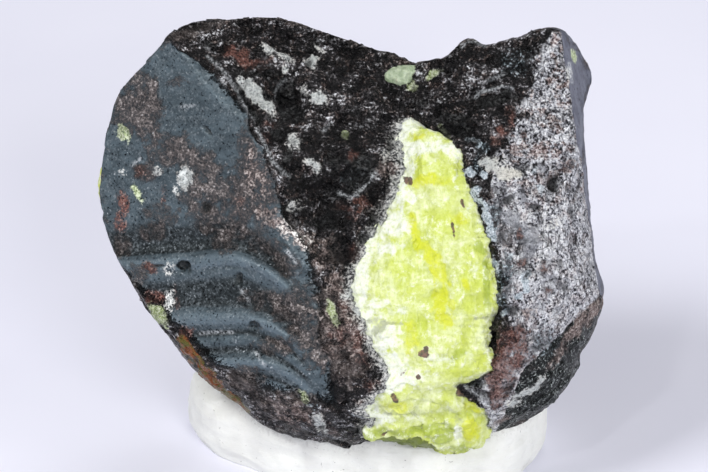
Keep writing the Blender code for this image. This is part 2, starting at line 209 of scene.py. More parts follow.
class RadialOutline:
    """A closed outline read as a distance from its centre in any direction."""

    def __init__(self, points: Line, centre: tuple[float, float]) -> None:
        """Reads the outline.

        Args:
            points: the outline's points.
            centre: the place that distances are measured from.
        """
        self.centre = Vector(centre)
        spokes = []
        for point in closed_curve(points, CURVE_STEPS):
            arm = point - self.centre
            spokes.append((math.atan2(arm.y, arm.x), arm.length))
        spokes.sort()
        first, last = spokes[0], spokes[-1]
        self.spokes = [(last[0] - math.tau, last[1])] + spokes + [(first[0] + math.tau, first[1])]
        self.angles = [angle for angle, _ in self.spokes]

    def reach(self, angle: float) -> float:
        """Distance from the centre to the outline.

        Args:
            angle: the direction, in radians.

        Returns:
            The distance, in mm.
        """
        low = bisect_right(self.angles, angle) - 1
        (start, near), (end, far) = self.spokes[low], self.spokes[low + 1]
        share = (angle - start) / (end - start) if end > start else 0.0
        return near + (far - near) * share


@dataclass(frozen=True)
class Patch:
    """A patch of a colour or a finish on the stone's face, in mm."""

    x: float
    z: float
    wide: float
    high: float
    turn: float
    strength: float

    def cover(self, x: float, z: float, ragged: float) -> float:
        """How much of the patch lies over a point.

        Args:
            x: place across the stone, in mm.
            z: place up the stone, in mm.
            ragged: how far the patch's edge is moved here, as a share of its size.

        Returns:
            The cover from 0 to the patch's strength.
        """
        turn = math.radians(self.turn)
        across, up = x - self.x, z - self.z
        along = (across * math.cos(turn) + up * math.sin(turn)) / self.wide
        aside = (up * math.cos(turn) - across * math.sin(turn)) / self.high
        return self.strength * smooth_step(*PATCH_FADE, math.hypot(along, aside) + ragged)


def patches(*rows: tuple[float, float, float, float, float, float]) -> tuple[Patch, ...]:
    """Patches from rows of x, z, half width, half height, turn in degrees and strength."""
    return tuple(Patch(*row) for row in rows)


def covered(places: Sequence[Patch], x: float, z: float) -> float:
    """How much of several patches lies over a point.

    Args:
        places: the patches.
        x: place across the stone, in mm.
        z: place up the stone, in mm.

    Returns:
        The cover from 0 to 1.
    """
    ragged = 0.5 * noise.noise(Vector((x * 1.3, 5.0, z * 1.3)))
    ragged += 0.25 * noise.noise(Vector((x * 3.7, 9.0, z * 3.7)))
    near = [place for place in places if abs(x - place.x) < PATCH_REACH and abs(z - place.z) < PATCH_REACH]
    return min(sum(place.cover(x, z, ragged) for place in near), 1.0)


@dataclass(frozen=True)
class GlintAndScratchLine:
    """A thin bright line on the rock's face, in mm: mostly a painted highlight along a broken edge, a few
    pale scratches.
    """

    points: Line
    strength: float
    width: float = 0.2

    def stretches(self) -> list[tuple[Vector, Vector]]:
        """The line's straight stretches."""
        return [(Vector(start), Vector(end)) for start, end in zip(self.points, self.points[1:])]

    def cover(self, x: float, z: float) -> float:
        """How bright the line is at a point.

        Args:
            x: place across the stone, in mm.
            z: place up the stone, in mm.

        Returns:
            The share from 0 to the line's strength.
        """
        here = Vector((x, z))
        nearest = 9.0
        for start, end in self.stretches():
            along = end - start
            share = clamped((here - start).dot(along) / along.length_squared)
            nearest = min(nearest, (here - start - along * share).length)
        begins, ends = GLINT_LINE_FADE
        return self.strength * smooth_step(begins * self.width, ends * self.width, nearest)


class DetailMap:
    """Which cells of the stone's face hold small detail, so that the mesh can be finer there."""

    def __init__(self, glint_and_scratch_lines: Sequence[GlintAndScratchLine], places: Sequence[Patch], cell: float = 0.5) -> None:
        """Marks the cells.

        Args:
            glint_and_scratch_lines: the lines to follow.
            places: the patches whose edges are small detail.
            cell: a cell's side, in mm.
        """
        self.cell = cell
        self.marked: set[tuple[int, int]] = set()
        for glint_and_scratch in glint_and_scratch_lines:
            for start, end in glint_and_scratch.stretches():
                steps = math.ceil((end - start).length / cell)
                for step in range(steps + 1):
                    self.mark(*(start + (end - start) * step / steps), cell)
        for place in places:
            reach = min(max(place.wide, place.high), WIDEST_DETAIL) + DETAIL_MARGIN
            self.mark(place.x, place.z, reach)

    def mark(self, x: float, z: float, reach: float) -> None:
        """Marks the cells round a point.

        Args:
            x: place across the stone, in mm.
            z: place up the stone, in mm.
            reach: how far round it they are marked, in mm.
        """
        steps = math.ceil(reach / self.cell)
        column, row = round(x / self.cell), round(z / self.cell)
        for i in range(-steps, steps + 1):
            for j in range(-steps, steps + 1):
                if i * i + j * j <= steps * steps:
                    self.marked.add((column + i, row + j))

    def holds(self, x: float, z: float) -> bool:
        """Whether a point lies in a marked cell."""
        return (round(x / self.cell), round(z / self.cell)) in self.marked


def along_line(points: Line, at: float) -> float:
    """The height of a broken line.

    Args:
        points: the line's corners, from left to right.
        at: where it is read.

    Returns:
        The height, level beyond the line's ends.
    """
    if at <= points[0][0]:
        return points[0][1]
    for (start, first), (end, last) in zip(points, points[1:]):
        if at <= end:
            return first + (last - first) * (at - start) / (end - start)
    return points[-1][1]


# Where the pieces stand


@dataclass(frozen=True)
class Seat:
    """How the upright frame in millimetres is leaned back and set over the floor in metres."""

    lean: float = math.radians(26.0)
    stone_width: float = 60.0 * MM
    drawn_width: float = 59.7
    shift: tuple[float, float, float] = (0.252, -1.330, 29.588)

    def leaned(self) -> Matrix:
        """The turn and the shift, still in drawn millimetres."""
        return Matrix.Translation(self.shift) @ Euler((-self.lean, 0.0, 0.0)).to_matrix().to_4x4()

    def whole(self) -> Matrix:
        """The whole way from the upright frame to the floor, in metres."""
        return Matrix.Scale(self.stone_width / self.drawn_width, 4) @ self.leaned()


SEAT = Seat()


# The stone's shape


@dataclass
class VeinPath:
    """Where the front vein lies on the stone's face: rows of height, left edge and right edge, in mm."""

    rows: tuple[tuple[float, float, float], ...] = (
        (13.9, 6.3, 7.4), (12.8, 5.8, 8.4), (12.2, 5.7, 10.0), (11.2, 5.7, 11.6), (10.0, 5.9, 13.0),
        (7.7, 6.0, 13.4), (5.3, 5.2, 14.0), (3.0, 4.2, 14.7), (0.6, 2.9, 15.8), (-1.8, 1.7, 16.2),
        (-4.2, 0.5, 16.5), (-6.5, 0.0, 17.1), (-8.5, 0.7, 17.2), (-10.4, 1.3, 16.3), (-12.6, 2.3, 15.9),
        (-14.6, 3.5, 16.5), (-15.9, 4.1, 16.8), (-16.7, 4.2, 15.2), (-17.8, 4.0, 12.7), (-19.1, 2.6, 13.6),
        (-20.4, 1.2, 15.6), (-21.7, 2.4, 16.2), (-23.2, 1.4, 16.2), (-24.2, 2.2, 15.6), (-25.2, 7.0, 15.0),
        (-25.9, 10.6, 14.0),
    )
    wander: float = 0.45
    shiver: float = 0.2

    @property
    def top(self) -> float:
        """Height of the vein's tip."""
        return self.rows[0][0]

    @property
    def foot(self) -> float:
        """Height of the vein's lower end."""
        return self.rows[-1][0]

    def strayed(self, z: float, wander_seed: float, wander_pace: float, seed: float, pace: float) -> float:
        """How far an edge strays at a height: broadly from one noise, and a little from a finer one."""
        broad = self.wander * noise.noise(Vector((wander_seed, z * wander_pace, 0.0)))
        return broad + self.shiver * noise.noise(Vector((seed, z * pace, 0.0)))

    def edges(self, z: float) -> tuple[float, float]:
        """The vein's left and right edges at a height.

        Args:
            z: place up the stone, in mm.

        Returns:
            The two edges, in mm across the stone.
        """
        z = min(max(z, self.foot), self.top)
        left, right = self.rows[-1][1:]
        for upper, lower in zip(self.rows, self.rows[1:]):
            if z >= lower[0]:
                share = (upper[0] - z) / (upper[0] - lower[0])
                left = upper[1] + (lower[1] - upper[1]) * share
                right = upper[2] + (lower[2] - upper[2]) * share
                break
        return left + self.strayed(z, 1.7, 1.1, 4.0, 3.1), right + self.strayed(z, 9.2, 0.9, 6.0, 2.9)


@dataclass
class StoneForm:
    """The host rock's form: heights of its front and back over a point of its face."""

    outline: RadialOutline = field(default_factory=lambda: RadialOutline(
        (
            (-19.0, 25.3), (-14.2, 25.6), (-10.1, 25.8), (-7.1, 25.3), (-2.4, 23.8), (2.4, 22.2), (5.9, 21.1),
            (7.2, 20.5), (9.5, 20.6), (11.5, 21.6), (13.2, 23.0), (14.5, 23.2), (15.9, 22.5), (19.2, 23.3),
            (21.9, 24.3), (24.0, 24.5), (25.3, 24.0), (26.5, 22.6), (28.4, 19.3), (27.9, 16.6), (27.4, 14.0),
            (28.1, 5.3), (28.9, -2.4), (29.9, -6.0), (29.8, -8.6), (28.5, -12.2), (27.2, -14.1),
            (26.9, -15.9), (24.0, -20.0), (18.4, -23.3), (14.0, -24.0), (7.1, -24.0), (2.6, -24.7),
            (0.0, -25.4), (-2.6, -25.1), (-9.5, -23.3), (-13.6, -20.2), (-17.8, -17.1), (-21.9, -12.1),
            (-25.1, -7.6), (-28.3, -2.0), (-29.9, 3.6), (-29.8, 8.0), (-28.9, 13.2), (-27.4, 17.2),
            (-23.7, 21.3), (-21.6, 23.8),
        ),
        (0.0, -1.0),
    ))
    path: VeinPath = field(default_factory=VeinPath)
    roundness: float = 0.66
    front_depth: float = 20.0
    back_depth: float = 19.5
    rim_setback: float = -2.0
    rim_lean: float = 0.22
    rim_wander: float = 1.6
    rim_behind_side: float = 0.4
    valley_depth: float = 2.2
    valley_wall: float = 1.2
    bank_drop: tuple[float, float] = (0.4, 1.0)
    beside_vein: float = 0.4
    lowest_bank: float = -22.4
    bank_droop: float = 0.17
    back_step: float = 1.5
    rib_tops: float = 6.0
    rib_bend: float = 0.085
    bend_reach: float = 8.0
    slick_edges: Line = ((-7.7, -0.21), (-1.2, -0.875))
    left_face: Face = ((-29.0, 5.0, 1.2), (0.56, 0.10))
    left_crown: Face = ((-7.7, 7.4, 13.4), (-0.24, -0.60))
    left_front: Face = ((-7.7, 0.0, 12.6), (-0.16, -0.05))
    right_face: Face = ((20.0, 4.0, 13.2), (-0.10, -0.12))
    right_crown: Face = ((17.2, 11.9, 12.5), (0.45, -0.38))
    right_bank: Face = ((16.5, -0.6, 14.1), (1.10, 0.19))
    right_side: Face = ((25.5, 16.5, 11.6), (-3.00, -0.56))
    right_skirt: Face = ((24.3, -13.6, 12.4), (-1.30, 1.15))
    foot_face: Face = ((0.0, -14.0, 13.0), (0.02, 0.62))
    back_faces: tuple[Face, ...] = (
        ((4.0, 2.0, -18.0), (0.08, 0.12)),
        ((-16.0, 6.0, -14.0), (-0.62, 0.20)),
        ((18.0, 8.0, -14.0), (0.70, 0.28)),
        ((14.0, -14.0, -15.5), (0.30, -0.52)),
        ((-8.0, -16.0, -14.5), (-0.34, -0.66)),
    )
    chips: tuple[tuple[tuple[float, float, float], float], ...] = (
        ((-0.62, 0.55, 0.56), 24.6),
        ((0.55, 0.60, 0.58), 25.0),
        ((0.10, 0.55, 0.83), 20.2),
        ((-0.85, 0.52, 0.08), 26.0),
        ((-0.60, 0.55, -0.58), 23.4),
        ((0.50, 0.80, -0.33), 23.0),
        ((0.80, 0.58, 0.12), 24.2),
        ((-0.20, 0.75, -0.63), 20.6),
    )
    rib_start: float = -17.0
    bank_step: float = 0.1
    even_step: float = 0.7
    bank_rows: dict[int, tuple[float, float, float, float]] = field(default_factory=dict)
    ribs: Ridges = (
        (-0.6, -0.75, 1.7), (-2.9, 0.75, 1.1), (-5.6, -0.25, 0.9), (-7.6, -0.45, 1.4), (-10.0, 0.60, 1.1),
        (-11.6, -0.40, 0.7), (-12.7, 0.25, 0.5), (-13.7, -0.40, 0.7), (-15.1, 0.50, 0.9), (-16.6, -0.35, 0.6),
        (-17.6, 0.30, 0.5), (-18.6, -0.30, 0.6),
    )
    scratches: Ridges = (
        (1.6, -0.10, 0.16), (-1.5, -0.12, 0.14), (-3.9, -0.28, 0.16), (-4.5, 0.08, 0.2), (-6.6, -0.10, 0.2),
        (-8.6, -0.12, 0.14), (-10.9, -0.14, 0.16), (-12.1, 0.08, 0.16), (-14.3, -0.12, 0.14),
        (-16.0, -0.10, 0.14), (-19.4, -0.14, 0.2),
    )
    pits: Bumps = (
        (-8.0, 15.4, 1.9, 1.5), (-9.2, 10.4, 1.3, 0.9), (-3.4, 4.2, 3.0, 1.9), (3.0, 4.4, 1.7, 1.3),
        (-20.0, -3.6, 0.9, 0.6), (23.8, 6.1, 1.2, 1.2), (18.8, -1.4, 1.2, 0.7), (19.6, -10.6, 1.5, 0.8),
        (10.6, 14.2, 1.8, 1.0), (-1.0, 12.6, 1.6, 0.9), (-0.8, -1.2, 1.5, 0.7), (20.6, -3.4, 0.8, 0.6),
        (-20.0, -3.6, 0.45, 0.5), (-11.7, -10.7, 0.3, 0.25), (-12.7, -6.8, 0.28, 0.2),
        (-11.3, -14.2, 0.3, 0.2), (-10.4, -10.6, 0.25, 0.2), (-5.6, 15.2, 0.8, 0.5), (-2.4, 9.6, 0.9, 0.5),
        (1.6, 11.2, 1.0, 0.5), (0.6, 6.6, 1.0, 0.6), (-6.0, 5.6, 0.8, 0.4), (12.6, 16.6, 0.9, 0.4),
        (19.0, 14.6, 0.9, 0.4), (18.4, 9.4, 0.6, 0.3), (22.4, 9.8, 0.6, 0.3), (17.2, -9.6, 1.0, 0.6),
        (21.4, -13.2, 1.0, 0.4), (3.4, -13.8, 0.8, 0.4), (-1.2, -8.8, 0.9, 0.5),
    )
    lumps: Bumps = (
        (-12.5, 19.4, 2.6, 0.8), (-4.4, 18.0, 2.4, 1.0), (2.2, 15.6, 2.2, 0.9), (14.6, 19.6, 2.0, 1.2),
        (-5.4, 8.6, 1.7, 0.9), (-5.6, -2.6, 2.0, 0.9), (0.2, 8.4, 1.5, 0.8), (21.0, -7.0, 2.8, 0.7),
        (2.1, -17.2, 1.7, 1.3), (-1.2, -11.5, 2.4, 0.8), (19.2, 6.4, 2.2, 0.7), (24.0, 12.4, 2.4, 0.6),
        (-5.0, -20.6, 2.4, 0.6),
    )

    def rim_depth(self, x: float, z: float) -> float:
        """Depth of the stone's silhouette line, which leans and wanders a little.

        Args:
            x: place across the stone, in mm.
            z: place up the stone, in mm.

        Returns:
            The depth as a height towards the viewer, in mm.
        """
        wander = self.rim_wander * noise.noise(Vector((x * 0.09, z * 0.09, 21.0)))
        side = face_height(self.right_side, x, z) - self.rim_behind_side
        return smooth_min(self.rim_setback + self.rim_lean * z + wander, side, 1.0)

    def dome(self, x: float, z: float) -> float:
        """How full the stone's section is at a point of its face.

        Args:
            x: place across the stone, in mm.
            z: place up the stone, in mm.

        Returns:
            A share from 0 at the outline to 1 inside.
        """
        arm = Vector((x, z)) - self.outline.centre
        share = min(arm.length / self.outline.reach(math.atan2(arm.y, arm.x)), 1.0)
        flat = share ** (1 / self.roundness)
        return math.sqrt(max(1 - flat * flat, 0.0)) ** self.roundness

    def rib_level(self, x: float, z: float) -> tuple[float, float]:
        """Which slip rib of the left face runs through a point.

        Args:
            x: place across the stone, in mm.
            z: place up the stone, in mm.

        Returns:
            The rib's height where it starts, and how much of the ribs' relief shows here.
        """
        to_edge = leftmost(self.slick_edges, z) - x
        fade = clamped(to_edge / 1.2)
        bend = self.rib_bend * max(self.bend_reach - to_edge, 0.0) ** 2
        level = z - 0.07 * (x - self.rib_start) + bend + 0.5 * noise.noise(Vector((x * 0.16, z * 0.16, 3.0)))
        return level, fade

    def rib_relief(self, x: float, z: float) -> float:
        """Relief of the slip ribs, which bend down where they near the edge of the left face.

        Args:
            x: place across the stone, in mm.
            z: place up the stone, in mm.

        Returns:
            The relief, in mm.
        """
        level, fade = self.rib_level(x, z)
        if fade <= 0 or level > self.rib_tops:
            return 0.0
        relief = ripples(self.ribs, level)
        along = 0.5 + noise.noise(Vector((x * 0.35, z * 0.2, 14.0)))
        level += 0.12 * noise.noise(Vector((x * 0.5, z * 0.5, 31.0)))
        return (relief + ripples(self.scratches, level) * clamped(along * 1.6)) * fade

    def fronts(self, x: float, z: float) -> tuple[float, float, float, float]:
        """Heights of the front's main masses over a point.

        Args:
            x: place across the stone, in mm.
            z: place up the stone, in mm.

        Returns:
            Heights of the left face, the left block's front, the right block and the skirt below it.
        """
        here = Vector((x, 0.0, z))
        left_face = face_height(self.left_face, x, z) + self.rib_relief(x, z)
        left_front = smooth_min(face_height(self.left_crown, x, z), face_height(self.left_front, x, z), 1.5)
        left_front += rough(here, 5.0, 1.3)
        right_block = face_height(self.right_face, x, z) + rough(here + Vector((0.0, 9.0, 0.0)), 5.0, 0.9)
        right_crown = face_height(self.right_crown, x, z) + rough(here + Vector((0.0, 20.0, 0.0)), 4.5, 0.9)
        right_block = smooth_min(right_block, right_crown, 0.9)
        right_block = smooth_min(right_block, face_height(self.right_bank, x, z), 0.7)
        return left_face, left_front, right_block, face_height(self.right_skirt, x, z)

    def bare_height(self, x: float, z: float) -> float:
        """Height of the stone's front before the vein's valley is sunk in it.

        Args:
            x: place across the stone, in mm.
            z: place up the stone, in mm.

        Returns:
            The height towards the viewer, in mm.
        """
        left_face, left_front, right_block, skirt = self.fronts(x, z)
        left_block = smooth_min(left_face, left_front, 0.4)
        height = smooth_max(left_block, smooth_min(right_block, skirt, 0.6), 1.5)
        height += bumps(self.lumps, x, z)
        height -= bumps(self.pits, x, z)
        height = smooth_min(height, face_height(self.right_side, x, z), 0.4)
        foot = face_height(self.foot_face, x, z) + rough(Vector((x, 0.0, z)), 4.0, 0.8)
        height = smooth_min(height, foot, 2.5)
        rim = self.rim_depth(x, z)
        filled = self.dome(x, z) * self.front_depth
        return rim + max(smooth_min(filled, height - rim, 1.6), 0.0)

    def bank_row(self, row: int) -> Shades:
        """One row of the table of the vein's banks.

        Args:
            row: the row, counted down from the vein's tip.

        Returns:
            The left edge, the right edge, the left bank's height and the right bank's height.
        """
        if row not in self.bank_rows:
            level = self.path.top - row * self.bank_step
            left, right = self.path.edges(level)
            bank_z = max(level, self.lowest_bank)
            left_bank = self.bare_height(left - self.beside_vein, bank_z) - self.bank_drop[0]
            right_bank = self.bare_height(right + self.beside_vein, bank_z) - self.bank_drop[1]
            self.bank_rows[row] = (left, right, left_bank, right_bank)
        return self.bank_rows[row]

    def banks(self, z: float) -> Shades:
        """The vein's edges at a height and the rock's height beside each, a little below its banks.

        Args:
            z: place up the stone, in mm.

        Returns:
            The left edge, the right edge, the left bank's height and the right bank's height.
        """
        place = (self.path.top - z) / self.bank_step
        row = math.floor(place)
        share = place - row
        return tuple(a + (b - a) * share for a, b in zip(self.bank_row(row), self.bank_row(row + 1)))

    def even_banks(self, z: float) -> tuple[float, float]:
        """The heights of the two banks with their small ups and downs evened out.

        Args:
            z: place up the stone, in mm.

        Returns:
            The left bank's height and the right bank's height.
        """
        near = [self.banks(z + step * self.even_step) for step in (-3, -2, -1, 0, 1, 2, 3)]
        return sum(row[2] for row in near) / len(near), sum(row[3] for row in near) / len(near)

    def vein_bed(self, x: float, z: float) -> float:
        """Height of the vein's skin without its lobes: a straight run from bank to bank.

        Args:
            x: place across the stone, in mm.
            z: place up the stone, in mm.

        Returns:
            The height towards the viewer, in mm.
        """
        left, right, left_bank, right_bank = self.banks(z)
        share = clamped((x - left) / (right - left))
        inner = smooth_step(0.0, 1.6, min(x - left, right - x))
        if inner > 0:
            even_left, even_right = self.even_banks(z)
            left_bank += (even_left - left_bank) * inner
            right_bank += (even_right - right_bank) * inner
        droop = self.bank_droop * max(self.lowest_bank - z, 0.0) ** 2
        return left_bank * (1 - share) + right_bank * share - droop

    def front_height(self, x: float, z: float) -> float:
        """Height of the stone's front, with the valley that the vein fills.

        Args:
            x: place across the stone, in mm.
            z: place up the stone, in mm.

        Returns:
            The height towards the viewer, in mm.
        """
        height = self.bare_height(x, z)
        if z > self.path.top or z < self.path.foot:
            return height
        left, right, _, _ = self.banks(z)
        inside = min(x - left, right - x)
        if inside <= 0:
            return height
        wall = min(inside / self.valley_wall, 1.0)
        sunk = max(min(height, self.vein_bed(x, z) - self.valley_depth * wall), self.rim_depth(x, z))
        return height + (sunk - height) * smooth_step(0.0, 0.8, min(self.path.top - z, z - self.path.foot))

    def back_height(self, x: float, z: float) -> float:
        """Height of the stone's back, which lies behind its silhouette line.

        Args:
            x: place across the stone, in mm.
            z: place up the stone, in mm.

        Returns:
            The height towards the viewer, in mm, which is below zero.
        """
        height = face_height(self.back_faces[0], x, z)
        for face in self.back_faces[1:]:
            height = smooth_max(height, face_height(face, x, z), 2.2)
        here = Vector((x, 40.0, z))
        step = 0.8 * x + 0.6 * z + 5.0 * noise.noise(here * 0.11) - 2.0
        height += rough(here, 6.5, 1.7) + self.back_step / (1 + math.exp(-step / 0.5))
        rim = self.rim_depth(x, z)
        filled = self.dome(x, z) * self.back_depth
        return rim - max(smooth_min(filled, rim - height, 2.5), 0.0)

    def chipped(self, point: Vector, share: float) -> Vector:
        """A point of the skin, moved in to the broken corners that it stands outside.

        Args:
            point: the point, in mm.
            share: how much of the way it is moved.

        Returns:
            The moved point.
        """
        for facing, distance in self.chips:
            normal = Vector(facing).normalized()
            over = point.dot(normal) - distance
            if over > -0.5:
                point = point - normal * smooth_max(over, 0.0, 1.0) * share
        return point

    def point(self, direction: Vector) -> Vector:
        """The point of the stone's skin that a direction from its middle meets.

        Args:
            direction: the direction, one long.

        Returns:
            The point, in mm.
        """
        across = math.hypot(direction.x, direction.z)
        angle = math.atan2(direction.z, direction.x)
        reach = self.outline.reach(angle) * across**self.roundness
        x = self.outline.centre.x + reach * math.cos(angle)
        z = self.outline.centre.y + reach * math.sin(angle)
        if direction.y <= 0:
            return Vector((x, -self.front_height(x, z), z))
        share = min(direction.y / 0.14, 1.0)
        point = self.chipped(Vector((x, -self.back_height(x, z), z)), share)
        inward = Vector((x, 0.0, z)).normalized()
        return point - inward * share * max(1.0 + rough(point, 6.0, 1.5), 0.0)


# Turning skins into meshes


def refined_ball(
    skin: Skin, start: int, longest: Callable[[Vector, Vector], float], layers: Sequence[Paint]
) -> bmesh.types.BMesh:
    """A ball drawn over a skin, with its long edges split until the skin's detail shows.

    Args:
        skin: gives the point of the skin that a direction meets.
        start: subdivisions of the first ball.
        longest: gives the longest edge wanted at a direction and its point.
        layers: the paint layers that the mesh gets.

    Returns:
        The mesh, with each point's direction in the layer named way.
    """
    bm = bmesh.new()
    bmesh.ops.create_icosphere(bm, subdivisions=start, radius=1.0)
    bm.verts.layers.float_vector.new(WAY)
    for layer in layers:
        bm.verts.layers.float_color.new(layer.value)
    place = bm.verts.layers.float_vector[WAY]
    for vert in bm.verts:
        vert.co.normalize()
        vert[place] = skin(vert.co)
    for _ in range(MOST_PASSES):
        long_edges = []
        for edge in bm.edges:
            first, second = edge.verts
            middle = (first[place] + second[place]) / 2
            if (first[place] - second[place]).length > longest((first.co + second.co) / 2, middle):
                long_edges.append(edge)
        if not long_edges:
            break
        made = bmesh.ops.subdivide_edges(bm, edges=long_edges, cuts=1)
        for item in made["geom_inner"]:
            if isinstance(item, bmesh.types.BMVert):
                item.co.normalize()
                item[place] = skin(item.co)
        bmesh.ops.triangulate(bm, faces=[face for face in bm.faces if len(face.verts) > 3])
    for vert in bm.verts:
        direction = vert.co.copy()
        vert.co = vert[place]
        vert[place] = direction
    if bm.calc_volume(signed=True) < 0:
        bmesh.ops.reverse_faces(bm, faces=bm.faces)
    bm.normal_update()
    return bm


def paint_layers(bm: bmesh.types.BMesh, *paints: Paint) -> list[bmesh.types.BMLayerItem]:
    """A mesh's layers of paint, in the order asked for."""
    return [bm.verts.layers.float_color[paint.value] for paint in paints]


def roughened(bm: bmesh.types.BMesh, moves: Sequence[float]) -> None:
    """Moves a mesh's points out along their normals.

    Args:
        bm: the mesh.
        moves: how far each point moves out, in mm.
    """
    for vert, move in zip(bm.verts, moves):
        vert.co += vert.normal * move
    bm.normal_update()


def finished(
    name: str, bm: bmesh.types.BMesh, material: bpy.types.Material, slot: Slot, *nodes: str
) -> bpy.types.Object:
    """Sets a mesh over the floor as a piece of the specimen.

    Args:
        name: the piece's name.
        bm: the mesh, upright and in mm; it is used up.
        material: its finish.
        slot: not used.
        *nodes: the solids that the piece stands for.

    Returns:
        The piece.
    """
    bm.verts.layers.float_vector.remove(bm.verts.layers.float_vector[WAY])
    bm.transform(SEAT.whole())
    mesh = bpy.data.meshes.new(name)
    bm.to_mesh(mesh)
    bm.free()
    mesh.shade_smooth()
    mesh.materials.append(material)
    piece = bpy.data.objects.new(name, mesh)
    bpy.context.scene.collection.objects.link(piece)
    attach(piece, BODY)
    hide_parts(*nodes)
    LOG.info("%s: %d triangles", name, len(mesh.polygons))
    return piece


# Finishes


def linear(rgb: Rgb) -> Shades:
    """A screen colour as light.

    Args:
        rgb: red, green and blue from 0 to 255, as a screen shows them.

    Returns:
        The colour as the shaders take it.
    """
    shares = [channel / 255 for channel in rgb]
    red, green, blue = (s / 12.92 if s <= 0.04045 else ((s + 0.055) / 1.055) ** 2.4 for s in shares)
    return red, green, blue, 1.0


@dataclass(frozen=True)
class Coat:
    """A painted coat: its share's strength, how far noise moves its edge, how soft it is, how it covers."""

    strength: float
    spread: float
    soft: float
    cover: float = 1.0


class Graph:
    """Builds a material's nodes, with sizes in millimetres."""

    def __init__(self, name: str) -> None:
        """Starts a material.

        Args:
            name: the material's name.
        """
        self.material = bpy.data.materials.new(name)
        self.material.use_nodes = True
        self.tree = self.material.node_tree
        self.shader = self.tree.nodes["Principled BSDF"]
        self.object = self.tree.nodes.new("ShaderNodeTexCoord").outputs["Object"]

    def put(self, socket: Socket, value: object) -> None:
        """Links or sets an input.

        Args:
            socket: the input.
            value: another node's output, a number or a colour.
        """
        if isinstance(value, bpy.types.NodeSocket):
            self.tree.links.new(value, socket)
        else:
            socket.default_value = value

    def add(self, kind: str, inputs: dict[object, object], **settings: object) -> bpy.types.Node:
        """Adds a node.

        Args:
            kind: its type, without Blender's ShaderNode in front.
            inputs: its inputs by name or number.
            **settings: its other settings.

        Returns:
            The node.
        """
        node = self.tree.nodes.new("ShaderNode" + kind)
        for name, value in settings.items():
            setattr(node, name, value)
        for name, value in inputs.items():
            self.put(node.inputs[name], value)
        return node

    def stretched(
        self, scale: tuple[float, float, float], turn: tuple[float, float, float] = (0, 0, 0),
        vector: Optional[Socket] = None,
    ) -> Socket:
        """Coordinates, stretched and turned.

        Args:
            scale: how much finer the pattern is along each axis.
            turn: the turn about each axis, in degrees.
            vector: the coordinates; object coordinates if left out.

        Returns:
            The coordinates.
        """
        angles = [math.radians(angle) for angle in turn]
        inputs = {"Vector": vector or self.object, "Scale": scale, "Rotation": angles}
        return self.add("Mapping", inputs).outputs["Vector"]

    def noise(
        self, size: float, detail: float = 2.0, coarse: float = 0.5, vector: Optional[Socket] = None
    ) -> Socket:
        """Cloudy noise.

        Args:
            size: the size of its largest lumps, in mm.
            detail: how many finer layers it has.
            coarse: how strong the finer layers are.
            vector: where it is read; object coordinates if left out.

        Returns:
            The noise, from 0 to 1 and mostly near a half.
        """
        inputs = {"Vector": vector or self.object, "Scale": 1 / (size * MM)}
        inputs.update(Detail=detail, Roughness=coarse)
        return self.add("TexNoise", inputs).outputs["Fac"]

    def cells(self, size: float, feature: str = "F1", vector: Optional[Socket] = None) -> bpy.types.Node:
        """A pattern of cells of a size in mm, whose outputs are Distance and Color."""
        inputs = {"Vector": vector or self.object, "Scale": 1 / (size * MM)}
        return self.add("TexVoronoi", inputs, feature=feature)

    def warped(self, size: float, reach: float) -> Socket:
        """Object coordinates pushed about by noise, so that cells lose their straight sides.

        Args:
            size: the size of the pushes' pattern, in mm.
            reach: how far they push, in mm.

        Returns:
            The coordinates.
        """
        inputs = {"Vector": self.object, "Scale": 1 / (size * MM), "Detail": 1.0}
        pattern = self.add("TexNoise", inputs).outputs["Color"]
        inputs = {0: pattern, 1: [2 * reach * MM] * 3, 2: self.object}
        return self.add("VectorMath", inputs, operation="MULTIPLY_ADD").outputs["Vector"]

    def paint(self, layer: Paint) -> Sockets:
        """The four shares of a paint layer.

        Args:
            layer: the layer.

        Returns:
            The shares.
        """
        node = self.add("Attribute", {}, attribute_name=layer.value)
        parts = self.add("SeparateColor", {0: node.outputs["Color"]})
        return parts.outputs[0], parts.outputs[1], parts.outputs[2], node.outputs["Alpha"]

    def channel(self, colour: Socket, index: int) -> Socket:
        """One channel of a colour: 0 for red, 1 for green and 2 for blue."""
        return self.add("SeparateColor", {0: colour}).outputs[index]

    def sum(self, operation: str, *values: object) -> Socket:
        """A Math node's result with one, two or three numbers."""
        return self.add("Math", dict(enumerate(values)), operation=operation).outputs[0]

    def range(self, value: object, low: float, high: float, start: float = 0.0, end: float = 1.0) -> Socket:
        """A soft step of value between low and high, from start to end."""
        inputs = dict(enumerate((value, low, high, start, end)))
        return self.add("MapRange", inputs, interpolation_type="SMOOTHSTEP").outputs[0]

    def nudged(self, value: Socket, by: Socket, amount: float) -> Socket:
        """A value moved up or down by a pattern, whose whole range from 0 to 1 moves it by amount."""
        return self.sum("MULTIPLY_ADD", self.sum("SUBTRACT", by, 0.5), amount, value)

    def mask(self, share: Socket, grain: Socket, spread: float = 1.0, soft: float = 0.06) -> Socket:
        """A painted share with its edge moved by noise as far as spread says, and as soft as soft says."""
        spotted = self.range(self.nudged(share, grain, 2 * spread), 0.5 - soft, 0.5 + soft)
        return self.both(spotted, self.range(share, 0.02, 0.2))

    def coated(
        self, under: Socket, share: Socket, grain: Socket, coat: Coat, colour: object
    ) -> tuple[Socket, Socket]:
        """Lays a coat over a colour.

        Args:
            under: the colour beneath.
            share: the coat's painted share.
            grain: the noise that breaks its edge up.
            coat: its measures.
            colour: its own colour.

        Returns:
            The coat's mask and the coated colour.
        """
        mask = self.mask(self.both(share, coat.strength), grain, coat.spread, coat.soft)
        return mask, self.mix(self.both(mask, coat.cover), under, colour)

    def both(self, first: object, second: object) -> Socket:
        """Where two masks overlap: their product."""
        return self.sum("MULTIPLY", first, second)

